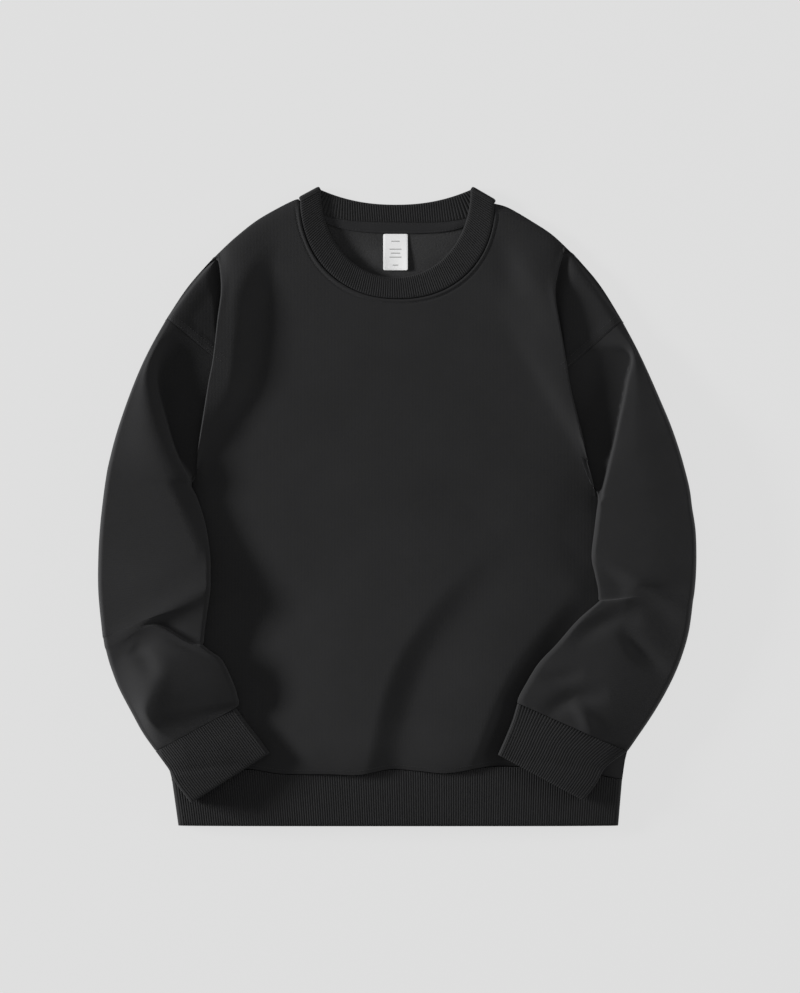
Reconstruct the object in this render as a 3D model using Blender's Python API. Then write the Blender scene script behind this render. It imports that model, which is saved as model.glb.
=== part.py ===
"""A crewneck sweatshirt laid flat on a table, its sleeves folded down beside and over the body.

The maker's pieces are separate solids: front and back panel, two sleeves, each as an upper arm and a
forearm that meet in the elbow crease, two rib cuffs, the hem rib, the collar rib, the tape over the
back neck seam and the label under it. The back panel lies on the table at z = 0. X runs across the
body, Y from the hem to the neck and Z up. Left and right are the wearer's, so the right sleeve lies
at -X. Tables and named sizes are in millimetres.
"""

import math

import bpy
import numpy as np

MM = 0.001

# Cloth and seams.
CLOTH = 1.9  # wall of the brushed fleece
RIB_WALL = 2.8  # hem and cuffs: rib folded double
COLLAR_THICK = 3.4  # collar: rib folded double and pressed
SEAM_GAP = 0.6  # between two pieces along their seam
LAY_GAP = 1.9  # between cloth that lies on other cloth
REST_GAP = 0.3  # under the tape and the label, which lie sewn to the cloth
LOW_ROLL = 2.4  # radius of a tube's lower edges
HOLLOW_LEAST = 1.2  # least clear height inside a sleeve

# The body.
EDGE_HEIGHT = 4.3  # top of the front panel along its side and shoulder edges
LIP_RISE = 2.4  # quick rise just inside those edges
LIP_REACH = 6.0
MIDDLE_HEIGHT = 12.6  # top of the front panel away from its edges
MIDDLE_REACH = 60.0
HEM_DIP = 2.2  # the panel dips into the hem seam
HEM_DIP_REACH = 7.0
HEM_BLOUSE = 1.8  # and stands a little full just above it
HEM_BLOUSE_AT = 22.0
SHAPED_REACH = 25.0  # dips and folds fade out this near to the panel's edges
RIDGE_REACH = 20.0  # how far a side fold lifts the panel inside it
FLAP_TOP = 5.9  # top of the panel where it runs under the side fold
FOLD_START = 50.0  # a side fold grows to its full overhang this far from the shoulder
FOLD_END_RAYS = 3  # and fades over this many rays where the sleeve crosses it
ABOVE_HEM = 14.0  # the panel's last rows start this far above the hem seam
DRAPE_REACH = 20.0  # a sleeve on the body comes down to the table over this distance
HEM_STEP = (10.0, 8.0)  # what lies on the body steps up to the hem this far above it, over this reach
ARMPIT_REACH = 14.0  # and above the armpit it comes down to the table over this one
# How the cloth turns down past the side fold: outward from it, then as a share of the run to the edge,
# and the share of its height left.
ROLL_PROFILE = (
    (0.0, 0.0, 1.0), (1.4, 0.0, 0.84), (1.6, 0.03, 0.45), (0.9, 0.34, 0.10), (0.0, 1.0, 0.0),
)
FLAT_SHARE = 0.16  # where there's no fold, each outward step is this share of the run instead
NECK_SHARES = (0.41, 0.59)  # of the neck seam, where the rays to the hem start and end

# The neck.
NECK_HALF = 107.0  # collar seam: half width, top and depth of its U
NECK_TOP = 335.0
NECK_DEEP = 107.0
NECK_POWER = 2.15
RIM_HALF = 82.6  # collar's free edge
RIM_MIDDLE = -1.8
RIM_TOP = 348.7
RIM_DEEP = 97.0
RIM_POWER = 2.05
BACK_SEAM_LOW = 312.0  # back neck seam at the middle, and how it rises to the shoulders
BACK_SEAM_POWER = 4.2
BACK_RIM_LOW = 332.3
BACK_RIM_POWER = 2.2
COLLAR_FRONT_SHARE = 0.58  # of the way round the collar; the back has the rest, less the folds
COLLAR_FOLD_SHARE = 0.02  # the fold at each shoulder
COLLAR_FOLD_OPEN = 1.8  # between the collar's two layers there
COLLAR_PROUD = 0.5  # its seam stands above the panel, and its free edge drops
RIM_DROP = 2.0
COLLAR_ROWS = ((0.0, -0.3), (0.5, 0.0), (1.0, -0.4))  # share from seam to free edge, added thickness
TAPE_START = 0.12  # share of the back neck seam where the tape starts and, from the other end, stops
TAPE_WIDE = 11.5
TAPE_THICK = 1.0
TAPE_POINTS = 29
LABEL_SIZE = (27.0, 40.0, 0.9)
LABEL_MIDDLE = -2.0
LABEL_GAP = 0.4  # from the tape

# Ribs: how many show on each band, and how far they stand up.
COLLAR_FRONT_RIBS = 92
COLLAR_BACK_RIBS = 45
HEM_RIBS = 133
CUFF_RIBS = 32
RIB_RISE = 0.35

# The hem and cuff tubes.
HEM_BOTTOM = -352.0
HEM_TALL = 52.0
HEM_BOTTOM_SIDES = (-241.4, 243.6)
HEM_SEAM_SIDES = (-248.8, 247.9)
HEM_HEIGHT = 13.4  # at the middle
HEM_SIDE_HEIGHT = 8.0
HEM_SIDE_REACH = 45.0
HEM_ROLL = 5.0
HEM_ROLL_SHARE = 0.45  # of the height left at the side edges
HEM_BELLY = 0.8
HEM_SECTIONS = (1.0, 0.5, 0.0)  # shares of its height, seam to open edge
CUFF_HEIGHT = 11.0
CUFF_ROLL = 5.0
CUFF_CROWN = 1.2
CUFF_SECTIONS = 5
CUFF_STEP_OUTER = 4.0  # the cuff starts this much inside the sleeve's end
CUFF_STEP_INNER = 1.0

# Shoulder edges, from the neck seam to the top of the side fold and on to the armhole seam.
SHOULDER_RIGHT = [
    (-107, 335), (-117, 336), (-138, 325.6), (-155, 314.5), (-179, 295.5), (-197.2, 278.5)
]
SHOULDER_LEFT = [(107, 335), (123, 329), (152, 311.5), (170, 299.5), (184, 287)]
CAP_EDGE_RIGHT = [(-197.2, 278.5), (-215.4, 259.6), (-233.6, 237.6), (-254, 206.8)]
CAP_EDGE_LEFT = [(184, 287), (210.3, 259.6), (227.3, 237.6), (247.6, 204.6)]

# Side folds of the body, from the shoulder edge down to where the sleeve crosses over: x, y, z.
FOLD_RIGHT = [
    (-197.2, 278.5, 4.3),
    (-193.6, 258.6, 10.5),
    (-192.2, 234.5, 17.5),
    (-196.0, 204.0, 21.0),
    (-200.8, 161.7, 22.0),
    (-206.0, 134.2, 21.0),
    (-213.3, 89.3, 18.5),
    (-219.5, 52.0, 14.0),
    (-221.5, 28.0, 8.0),
]
FOLD_LEFT = [
    (184.0, 287.0, 4.3),
    (175.0, 255.0, 11.5),
    (172.5, 229.0, 18.0),
    (180.2, 183.7, 22.0),
    (184.5, 158.0, 22.0),
    (189.5, 128.0, 21.0),
    (200.0, 86.0, 19.0),
    (212.5, 38.0, 14.0),
    (218.5, 13.0, 8.5),
]

# Side edges of the body under the sleeves, armpit to hem seam.
SIDE_RIGHT = [
    (-224.5, 24), (-232, 1), (-245, -37), (-258, -92), (-265, -147),
    (-267, -202), (-261, -246), (-254, -279), (-249, -299),
]
SIDE_LEFT = [
    (221.5, 8), (230, -10), (243, -48), (258, -103), (266, -158),
    (266, -213), (260, -250), (252, -275), (248, -301),
]
# A line inside those edges that the sleeve's own edge roughly follows, down to just above the hem.
INNER_RIGHT = [(-221.5, 28), (-206, -40), (-204, -120), (-212, -200), (-196, -262), (-188, -279)]
INNER_LEFT = [(218.5, 13), (212, -45), (216, -110), (212, -190), (196, -262), (190, -277)]

# Hem seam, from the wearer's right to left.
HEM_SEAM = [
    (-249, -299), (-205, -293.5), (-166, -289.5), (-127, -294.5), (-77, -294.8), (-42, -295.4),
    (-7, -289.4), (24, -291.4), (55, -293.6), (98, -287), (133, -286.8), (179, -291),
    (223, -297), (248, -301),
]

# Sleeves, a row for each section from the armhole seam to the cuff seam. outer is the section's end on
# the outline and inner its end at the body. Along the section, as shares of its width: the crest, the
# ridge where the cloth turns down, and the foot of that slope. The z columns are the heights there.
SLEEVE_COLUMNS = (
    "outer_x", "outer_y", "inner_x", "inner_y", "roll", "side_z",
    "crest_at", "crest_z", "ridge_at", "ridge_z", "foot_at", "foot_z", "end_z",
)
SLEEVE_RIGHT = [
    (-254.0, 206.8, -192.8, 156.2, 4, 5.4, 0.30, 6.4, 0.50, 6.2, 0.75, 5.6, 5.0),
    (-270.7, 177.0, -195.0, 133.1, 5, 8.0, 0.18, 9.0, 0.30, 7.6, 0.55, 5.6, 5.0),
    (-284.4, 148.5, -199.4, 107.8, 5, 13.0, 0.12, 16.0, 0.17, 15.0, 0.42, 5.8, 5.0),
    (-297.7, 114.4, -207.1, 77.0, 8, 18.0, 0.18, 24.0, 0.26, 22.0, 0.46, 5.8, 5.0),
    (-309.5, 79.2, -214.8, 48.4, 11, 21.0, 0.33, 29.0, 0.49, 26.0, 0.66, 5.8, 5.0),
    (-317.8, 47.3, -223.3, 30.5, 13, 22.0, 0.45, 31.0, 0.70, 28.0, 0.86, 6.5, 5.2),
    (-320.9, 30.8, -226.2, 22.0, 14, 22.0, 0.50, 32.0, 0.79, 28.5, 0.93, 12.0, 10.5),
    (-323.8, 9.9, -219.7, 8.8, 14, 23.0, 0.50, 32.0, 0.84, 28.0, 0.95, 18.0, 15.5),
    (-327.2, -20.9, -210.4, -20.9, 15, 24.0, 0.48, 32.0, 0.86, 26.5, 0.95, 20.0, 16.5),
    (-329.2, -53.9, -205.4, -53.9, 15, 24.0, 0.45, 31.0, 0.86, 25.5, 0.95, 20.5, 17.0),
    (-329.2, -95.0, -204.9, -76.0, 15, 22.0, 0.42, 29.0, 0.84, 25.0, 0.95, 21.5, 18.0),
    (-324.8, -140.8, -205.2, -92.4, 13, 22.0, 0.45, 27.0, 0.82, 26.0, 0.95, 23.0, 19.0),
    (-322.8, -148.5, -209.3, -124.0, 13, 22.0, 0.36, 25.0, 0.56, 18.5, 0.90, 16.8, 16.2),
    (-320.9, -158.4, -213.1, -151.8, 13, 21.0, 0.40, 24.0, 0.80, 22.0, 0.93, 20.0, 17.5),
    (-315.8, -177.0, -192.8, -167.2, 13, 20.0, 0.45, 25.0, 0.80, 22.5, 0.93, 20.5, 18.5),
    (-306.8, -200.2, -180.1, -193.6, 12, 19.0, 0.50, 27.0, 0.80, 24.5, 0.93, 22.0, 19.5),
    (-293.1, -226.6, -174.6, -211.2, 11, 18.0, 0.50, 28.5, 0.80, 26.5, 0.93, 23.0, 20.0),
    (-280.5, -249.7, -174.0, -217.8, 10, 17.5, 0.50, 29.0, 0.80, 27.5, 0.93, 23.5, 20.0),
    (-266.7, -269.5, -176.9, -221.1, 8, 14.0, 0.45, 25.0, 0.80, 25.0, 0.93, 22.5, 19.5),
]
SLEEVE_LEFT = [
    (247.6, 204.6, 184.5, 148.5, 4, 5.4, 0.30, 6.4, 0.50, 6.2, 0.75, 5.6, 5.0),
    (262.9, 176.0, 186.7, 125.4, 5, 8.0, 0.12, 9.5, 0.18, 8.5, 0.45, 5.6, 5.0),
    (276.0, 148.5, 191.1, 99.0, 6, 14.0, 0.20, 17.0, 0.26, 16.0, 0.40, 5.8, 5.0),
    (289.0, 118.8, 197.7, 72.6, 9, 18.0, 0.34, 24.0, 0.49, 23.0, 0.59, 5.8, 5.0),
    (301.3, 89.1, 204.3, 47.3, 12, 21.0, 0.45, 28.0, 0.69, 26.5, 0.77, 5.8, 5.0),
    (311.1, 60.5, 212.0, 27.5, 13, 22.0, 0.50, 30.0, 0.81, 28.0, 0.87, 6.2, 5.0),
    (319.1, 31.5, 219.5, 15.4, 14, 23.0, 0.52, 31.0, 0.84, 28.0, 0.90, 8.0, 5.6),
    (322.6, 15.4, 223.6, 6.0, 14, 23.0, 0.52, 31.0, 0.90, 27.0, 0.95, 17.0, 12.5),
    (324.7, -1.1, 220.3, -5.5, 15, 24.0, 0.50, 31.5, 0.90, 27.0, 0.95, 20.0, 16.0),
    (328.5, -26.4, 216.4, -26.4, 15, 24.0, 0.50, 31.5, 0.90, 26.5, 0.95, 21.0, 16.5),
    (329.5, -53.9, 213.3, -55.0, 15, 24.0, 0.48, 31.0, 0.90, 26.0, 0.95, 21.0, 17.0),
    (329.0, -81.4, 217.5, -79.2, 15, 23.0, 0.45, 29.0, 0.80, 24.0, 0.92, 18.5, 16.5),
    (326.3, -107.8, 220.8, -103.4, 14, 23.0, 0.45, 27.0, 0.80, 23.0, 0.94, 21.0, 18.0),
    (322.1, -134.2, 197.7, -125.4, 14, 22.0, 0.50, 26.0, 0.84, 24.0, 0.94, 21.5, 19.0),
    (316.0, -158.4, 174.6, -151.8, 13, 20.0, 0.55, 26.0, 0.84, 24.0, 0.94, 21.5, 19.5),
    (306.0, -184.8, 154.8, -172.7, 12, 19.0, 0.55, 26.5, 0.84, 24.5, 0.94, 22.0, 20.0),
    (291.3, -213.4, 140.5, -195.8, 11, 18.0, 0.55, 28.0, 0.84, 27.0, 0.94, 24.0, 20.5),
    (273.3, -242.0, 133.4, -209.0, 10, 17.5, 0.50, 29.0, 0.84, 28.0, 0.94, 24.5, 20.5),
    (253.5, -269.5, 131.5, -215.6, 8, 14.0, 0.45, 25.5, 0.84, 25.5, 0.94, 23.0, 20.0),
]

# Cuffs, a row for each section from just below the seam to the open end: outer_x, outer_y, inner_x,
# inner_y.
CUFF_RIGHT = [
    (-251.5, -288.0, -164.5, -238.5),
    (-241.0, -306.0, -151.5, -255.0),
    (-226.0, -325.0, -140.0, -270.5),
]
CUFF_LEFT = [
    (229.5, -286.5, 126.5, -234.5),
    (219.0, -304.0, 119.5, -252.0),
    (204.5, -323.0, 110.5, -272.5),
]

# Folds, a row for each: x and y of three points along it, its half width, its height (- for a trough).
BODY_FOLDS = [
    (-160, 290, -156, 200, -163, 105, 21, -3.0),
    (-188, -40, -158, -130, -128, -215, 13, -3.4),
    (-168, -55, -134, -160, -104, -235, 12, 1.8),
    (-150, -50, -104, -150, -80, -290, 15, -3.6),
    (38, -128, -4, -190, -30, -300, 14, -4.6),
    (62, -140, 26, -210, 8, -300, 14, 2.6),
    (0, -150, -38, -215, -58, -300, 13, 2.0),
    (196, -112, 148, -190, 84, -290, 20, -3.2),
    (120, 300, 124, 262, 132, 225, 16, -1.6),
]
SLEEVE_FOLDS_RIGHT = [
    (-318, -146, -262, -122, -212, -92, 8, 3.0),
    (-231, -156, -262, -176, -276, -224, 8, 4.2),
    (-283, -164, -272, -178, -262, -186, 9, -3.2),
    (-250, -198, -236, -200, -210, -196, 10, -4.0),
    (-256, -200, -262, -216, -258, -232, 8, -3.0),
    (-312, -156, -296, -166, -280, -176, 8, 2.2),
    (-272, -240, -268, -250, -262, -256, 10, 2.6),
]
SLEEVE_FOLDS_LEFT = [
    (228, -66, 266, -88, 312, -122, 7, 3.2),
    (224, -90, 240, -94, 260, -92, 7, -4.0),
    (232, -104, 252, -102, 272, -100, 6, 2.6),
    (190, -158, 208, -142, 252, -128, 9, -3.4),
    (262, -144, 270, -158, 278, -176, 8, -3.6),
    (150, -176, 168, -182, 190, -178, 9, -2.6),
    (174, -216, 186, -212, 206, -208, 8, -3.0),
    (196, -222, 204, -232, 212, -244, 7, 3.0),
]

# How finely each piece is divided.
NECK_RAYS = {"cap": 8, "hidden": 8, "side": 7, "hem": 28}
CAP_CROWDING = 1.5  # rays lie closer together near the shoulder
PANEL_STEPS = [0, 0.1, 0.22, 0.35, 0.48, 0.61, 0.73, 0.84, 0.93, 1.0]
ROLL_ROWS = [0.5, 1.0, 1.7, 2.4, 3.2, 4.0]
SLEEVE_RINGS = 25
ELBOW_ROW = 12  # row of each sleeve's table at its elbow crease, where the sleeve is two solids
CREASE_ROWS = (6, 11, 13)  # more rows where a section must lie
TOP_AT = (0, 0.5, 1, 1.4, 1.8, 2.15, 2.5, 2.85, 3.2, 3.6, 4)  # a sleeve section's points, in its marks
MARK_GAP = 1.5  # least distance between those marks
TIP_MARGIN = 1.4  # the last one lies this much inside the section's inner edge
EDGE_TURNS = (30, 60)  # degrees, the points of a tube's rolled sides


# ---------------------------------------------------------------- curves


def along(rows, at):
    """The rows of a table read at fractional row numbers, on a smooth curve through them."""
    rows = np.asarray(rows, float)
    last = len(rows) - 1
    at = np.clip(np.atleast_1d(np.asarray(at, float)), 0, last)
    low = np.minimum(at.astype(int), last - 1)
    part = (at - low)[:, None]
    start, end = rows[low], rows[low + 1]
    slope_in = (end - rows[np.maximum(low - 1, 0)]) / 2
    slope_out = (rows[np.minimum(low + 2, last)] - start) / 2
    square, cube = part**2, part**3
    return (
        (2 * cube - 3 * square + 1) * start
        + (cube - 2 * square + part) * slope_in
        + (3 * square - 2 * cube) * end
        + (cube - square) * slope_out
    )


def path(points, shares):
    """Points at the given shares of the length of a smooth curve through the given ones."""
    fine = along(points, np.linspace(0, len(points) - 1, 30 * len(points)))
    steps = np.linalg.norm(np.diff(fine[:, :2], axis=0), axis=1)
    length = np.concatenate([[0], np.cumsum(steps)])
    wanted = np.asarray(shares) * length[-1]
    return np.column_stack([np.interp(wanted, length, column) for column in fine.T])


def evenly(count):
    return np.linspace(0, 1, count + 1)


def smooth_step(value):
    value = np.clip(value, 0, 1)
    return value * value * (3 - 2 * value)


def neck_u(share, half, middle, top, deep, power):
    """The U of a neck edge, from the wearer's right shoulder to the left, as points on the plan."""
    turn = math.pi * np.asarray(share)
    x = middle - half * np.sign(np.cos(turn)) * np.abs(np.cos(turn)) ** (2 / power)
    return np.column_stack([x, top - deep * np.sin(turn) ** (2 / power)])


def neck_seam(share):
    return path(neck_u(evenly(80), NECK_HALF, 0, NECK_TOP, NECK_DEEP, NECK_POWER), share)


def neck_rim(share):
    return path(neck_u(evenly(80), RIM_HALF, RIM_MIDDLE, RIM_TOP, RIM_DEEP, RIM_POWER), share)


def back_curve(share, half, middle, low, top, power):
    """A back neck edge, from the wearer's right to the left."""
    x = np.linspace(-half, half, 81)
    y = low + (top - low) * np.abs(x / half) ** power
    return path(np.column_stack([x + middle, y]), share)


def back_seam(share):
    return back_curve(share, NECK_HALF, 0, BACK_SEAM_LOW, NECK_TOP, BACK_SEAM_POWER)


def back_rim(share):
    return back_curve(share, RIM_HALF, RIM_MIDDLE, BACK_RIM_LOW, RIM_TOP, BACK_RIM_POWER)


# ---------------------------------------------------------------- heights


def distance_to(points, line):
    """How far each plan point is from a line of points, and the share of the line's length there."""
    start, end = line[:-1], line[1:]
    step = end - start
    offset = points[:, None] - start
    share = np.clip((offset * step).sum(2) / np.maximum((step**2).sum(1), 1e-9), 0, 1)
    away = np.linalg.norm(offset - share[..., None] * step, axis=2)
    nearest = away.argmin(1)
    rows = np.arange(len(points))
    return away[rows, nearest], (nearest + share[rows, nearest]) / len(step)


def relief(points, folds):
    """The height that soft folds add at plan points."""
    added = np.zeros(len(points))
    for x0, y0, x1, y1, x2, y2, half_width, height in folds:
        line = path([(x0, y0), (x1, y1), (x2, y2)], evenly(12))
        away, share = distance_to(points, line)
        fade = np.sin(math.pi * np.clip(share, 0.04, 0.96)) ** 0.6
        added += height * fade * np.exp(-((away / half_width) ** 2))
    return added


EDGE_LINES = [
    path(points, evenly(24))
    for points in (SHOULDER_RIGHT, SHOULDER_LEFT, SIDE_RIGHT, SIDE_LEFT)
]
SEAM_LINE = path(HEM_SEAM, evenly(80))


def seam_y(x):
    return np.interp(x, SEAM_LINE[:, 0], SEAM_LINE[:, 1])


def body_top(points):
    """Height of the front panel's top over plan points, apart from the side folds."""
    inside = np.min([distance_to(points, line)[0] for line in EDGE_LINES], axis=0)
    lip = LIP_RISE * (1 - np.exp(-inside / LIP_REACH))
    middle = (MIDDLE_HEIGHT - EDGE_HEIGHT - LIP_RISE) * (1 - np.exp(-inside / MIDDLE_REACH))
    above_seam = np.maximum(points[:, 1] - seam_y(points[:, 0]), 0)
    dip = HEM_DIP * np.exp(-above_seam / HEM_DIP_REACH)
    blouse = HEM_BLOUSE * np.exp(-(((above_seam - HEM_BLOUSE_AT) / HEM_BLOUSE_AT) ** 2))
    rise = smooth_step(inside / SHAPED_REACH)
    shaped = (blouse - dip + relief(points, BODY_FOLDS)) * rise
    return EDGE_HEIGHT + lip + middle + shaped


def hem_sides(y):
    """The two sides of the hem band at a height y."""
    share = (np.asarray(y) - HEM_BOTTOM) / HEM_TALL
    return tuple(
        bottom + share * (seam - bottom) for bottom, seam in zip(HEM_BOTTOM_SIDES, HEM_SEAM_SIDES)
    )


def hem_top(points):
    low, high = hem_sides(points[:, 1])
    inside = np.maximum(np.minimum(points[:, 0] - low, high - points[:, 0]), 0)
    rise = 1 - np.exp(-inside / HEM_SIDE_REACH)
    height = HEM_SIDE_HEIGHT + (HEM_HEIGHT - HEM_SIDE_HEIGHT) * rise
    roll = np.clip(1 - inside / HEM_ROLL, 0, 1)
    across = np.clip((points[:, 1] - HEM_BOTTOM) / HEM_TALL, 0, 1)
    belly = HEM_BELLY * np.sin(math.pi * across)
    rounded = HEM_ROLL_SHARE + (1 - HEM_ROLL_SHARE) * np.sqrt(1 - roll**2)
    return (height + belly * rise) * rounded


def body_sides(y):
    """The two edges of what lies under the sleeves and cuffs at a height y."""
    low, high = hem_sides(y)
    right, left = EDGE_LINES[2][::-1], EDGE_LINES[3][::-1]
    on_hem = np.asarray(y) < right[0, 1]
    return (
        np.where(on_hem, low, np.interp(y, right[:, 1], right[:, 0])),
        np.where(on_hem, high, np.interp(y, left[:, 1], left[:, 0])),
    )


def support(points):
    """Height of what a sleeve or cuff lies on at plan points: the body, the hem or the table."""
    low, high = body_sides(points[:, 1])
    inside = np.minimum(points[:, 0] - low, high - points[:, 0])
    step_above, step_reach = HEM_STEP
    on_hem = smooth_step((seam_y(points[:, 0]) + step_above - points[:, 1]) / step_reach)
    top = (1 - on_hem) * body_top(points) + on_hem * (hem_top(points) + RIB_RISE)
    top = np.where(inside < 0, EDGE_HEIGHT + on_hem, top)
    top = np.maximum(top, EDGE_HEIGHT) + LAY_GAP
    armpit = np.where(points[:, 0] < 0, SIDE_RIGHT[0][1], SIDE_LEFT[0][1])
    below_armpit = smooth_step((armpit + ARMPIT_REACH - points[:, 1]) / ARMPIT_REACH)
    return top * smooth_step(1 + inside / DRAPE_REACH) * below_armpit


# ---------------------------------------------------------------- meshes


def add_material(name, colour, roughness):
    material = bpy.data.materials.new(name)
    material.use_nodes = True
    shader = material.node_tree.nodes["Principled BSDF"]
    shader.inputs["Base Color"].default_value = (*colour, 1)
    shader.inputs["Roughness"].default_value = roughness
    shader.inputs["Metallic"].default_value = 0.0
    material.diffuse_color = (*colour, 1)
    return material


def add_solid(name, points, faces, material):
    mesh = bpy.data.meshes.new(name)
    mesh.from_pydata((np.asarray(points) * MM).tolist(), [], faces)
    mesh.materials.append(material)
    mesh.shade_smooth()
    mesh.set_sharp_from_angle(angle=math.radians(35))
    mesh.update()
    solid = bpy.data.objects.new(name, mesh)
    bpy.context.collection.objects.link(solid)
    return solid


def grid_faces(first, rows, columns, closed, flipped):
    faces = []
    for row in range(rows - 1):
        for column in range(columns if closed else columns - 1):
            after = (column + 1) % columns
            a, b = first + row * columns + column, first + row * columns + after
            face = (a, b, b + columns, a + columns)
            faces.append(face[::-1] if flipped else face)
    return faces


def zip_faces(near, near_at, far, far_at, flipped):
    """Triangles between two lines of points that run side by side, each with its own spacing."""
    faces = []
    i = j = 0
    while i < len(near) - 1 or j < len(far) - 1:
        step_near = j == len(far) - 1 or (
            i < len(near) - 1 and near_at[i + 1] <= far_at[j + 1] + 1e-9
        )
        if step_near:
            face = (near[i], far[j], near[i + 1])
            i += 1
        else:
            face = (near[i], far[j], far[j + 1])
            j += 1
        faces.append(face[::-1] if flipped else face)
    return faces


def wall(name, outer, outer_at, inner, inner_at, closed, material):
    """A solid wall between two grids of rows by columns. Columns may differ in number and spacing."""
    rows, outer_columns = outer.shape[:2]
    inner_columns = inner.shape[1]
    first = rows * outer_columns
    faces = grid_faces(0, rows, outer_columns, closed, False)
    faces += grid_faces(first, rows, inner_columns, closed, True)
    for row, flipped in ((0, False), (rows - 1, True)):
        near = [row * outer_columns + column for column in range(outer_columns)]
        far = [first + row * inner_columns + column for column in range(inner_columns)]
        near_at, far_at = list(outer_at), list(inner_at)
        if closed:
            near, far = near + near[:1], far + far[:1]
            near_at, far_at = near_at + [1.0], far_at + [1.0]
        faces += zip_faces(near, near_at, far, far_at, flipped)
    if not closed:
        for near, far, flipped in (
            (0, first, False),
            (outer_columns - 1, first + inner_columns - 1, True),
        ):
            for row in range(rows - 1):
                a, b = near + row * outer_columns, near + (row + 1) * outer_columns
                c, d = far + row * inner_columns, far + (row + 1) * inner_columns
                face = (a, b, d, c)
                faces.append(face[::-1] if flipped else face)
    points = np.concatenate([outer.reshape(-1, 3), inner.reshape(-1, 3)])
    return add_solid(name, points, faces, material)


def grid_normals(grid):
    across, down = np.gradient(grid, axis=1), np.gradient(grid, axis=0)
    normals = np.cross(across, down)
    return normals / np.linalg.norm(normals, axis=2, keepdims=True)


def tube_section(start, end, top_d, top_z, lower, under_count=7):
    """One closed section of a flattened tube, as (d, z) along the plan line from start to end.

    top_d and top_z give its upper side, between the two rolled edges. lower(d) is what it lies on.
    """
    width = math.dist(start, end)
    base = lower(np.array([0.0, width]))
    tip_low, tip_high = base + LOW_ROLL
    turn = np.radians(EDGE_TURNS)
    rise = np.sin(turn)
    outer_d = top_d[0] * (1 - np.cos(turn))
    outer_z = tip_low + (top_z[0] - tip_low) * rise
    inner_d = (width - (width - top_d[-1]) * (1 - np.cos(turn)))[::-1]
    inner_z = (tip_high + (top_z[-1] - tip_high) * rise)[::-1]
    corner = LOW_ROLL * (1 - math.sqrt(0.5))
    under_d = np.linspace(width - LOW_ROLL, LOW_ROLL, under_count)
    d = [[0], outer_d, top_d, inner_d, [width], [width - corner], under_d, [corner]]
    z = [
        [tip_low], outer_z, top_z, inner_z, [tip_high],
        [base[1] + corner], lower(under_d), [base[0] + corner],
    ]
    return np.column_stack([np.concatenate(d), np.concatenate(z)])


def inset(section, thick, lower):
    """The section moved in by the wall, kept open where it is nearly flat."""
    ahead, behind = np.roll(section, -1, axis=0), np.roll(section, 1, axis=0)
    run = ahead - behind
    run /= np.linalg.norm(run, axis=1, keepdims=True)
    moved = section + thick * np.column_stack([run[:, 1], -run[:, 0]])
    floor = lower(moved[:, 0]) + thick
    return np.column_stack([moved[:, 0], np.maximum(moved[:, 1], floor)])


def place(section, start, end):
    """A (d, z) section stood on its plan line."""
    step = (np.asarray(end) - start) / math.dist(start, end)
    plan = np.asarray(start) + section[:, :1] * step
    return np.column_stack([plan, section[:, 1]])


def lower_along(start, end):
    step = (np.asarray(end) - start) / math.dist(start, end)
    return lambda d: support(np.asarray(start) + np.asarray(d)[:, None] * step)


# ---------------------------------------------------------------- front and back panel


def armhole(sleeve, cap, hidden):
    """The body's armhole edge: beside the sleeve's first section, then down its inner edge."""
    start, corner = np.array(sleeve[0][:2]), np.array(sleeve[0][2:4])
    cap_line = start + cap[:, None] * (corner - start)
    rows = along([row[2:4] for row in sleeve], np.linspace(0, 6, 80))
    down = path(rows, hidden)
    inward = -math.copysign(SEAM_GAP, corner[0])
    return cap_line, down + (inward, 0)


def side_lines(fold, inner, side, sleeve, shares):
    """For one side of the body, top to bottom: the fold line with its height, and the outer edge."""
    cap, hidden, down = shares
    reach = path(fold, evenly(60))
    split = np.argmin(np.linalg.norm(reach[:, :2] - sleeve[0][2:4], axis=1)) / 60
    upper = path(fold, cap * split)
    middle = path(fold, split + hidden * (1 - split))
    cap_edge, hidden_edge = armhole(sleeve, cap, hidden)
    lower = path(inner, down)
    lower = np.column_stack([lower, body_top(lower)])
    folded = np.concatenate([upper, middle[1:], lower[1:]])
    edge = np.concatenate([cap_edge, hidden_edge[1:], path(side, down)[1:]])
    counts = len(upper), len(upper) + len(middle) - 1
    return folded, edge, counts


def body_lines():
    """The rays' ends round the whole front: neck seam, fold line and outer edge."""
    cap, hidden, down = (evenly(NECK_RAYS[name]) for name in ("cap", "hidden", "side"))
    shares = cap**CAP_CROWDING, hidden, down
    right = side_lines(FOLD_RIGHT, INNER_RIGHT, SIDE_RIGHT, SLEEVE_RIGHT, shares)
    left = side_lines(FOLD_LEFT, INNER_LEFT, SIDE_LEFT, SLEEVE_LEFT, shares)
    hem = evenly(NECK_RAYS["hem"])
    corner_right, corner_left = right[0][-1, :2], left[0][-1, :2]
    above = corner_right + hem[:, None] * (corner_left - corner_right)
    bottom = path(HEM_SEAM, hem)
    above[:, 1] = seam_y(above[:, 0]) + ABOVE_HEM
    above = np.column_stack([above, body_top(above)])[1:-1]
    fold = np.concatenate([right[0], above, left[0][::-1]])
    edge = np.concatenate([right[1], bottom[1:-1], left[1][::-1]])
    edge[:, 1] += np.where(np.abs(edge[:, 1] - seam_y(edge[:, 0])) < 2, SEAM_GAP, 0)
    side_rays = len(right[0]) - 1
    total = len(fold) - 1
    bounds = [0, side_rays, total - side_rays, total]
    neck = np.interp(np.arange(total + 1), bounds, [0, *NECK_SHARES, 1])
    return neck_seam(neck), fold, edge, right[2]


def shoulder_shift(line, steps):
    """How far a curved shoulder edge lies from the straight run between its ends."""
    curved = path(line, steps)
    straight = curved[0] + steps[:, None] * (curved[-1] - curved[0])
    return curved - straight


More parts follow.
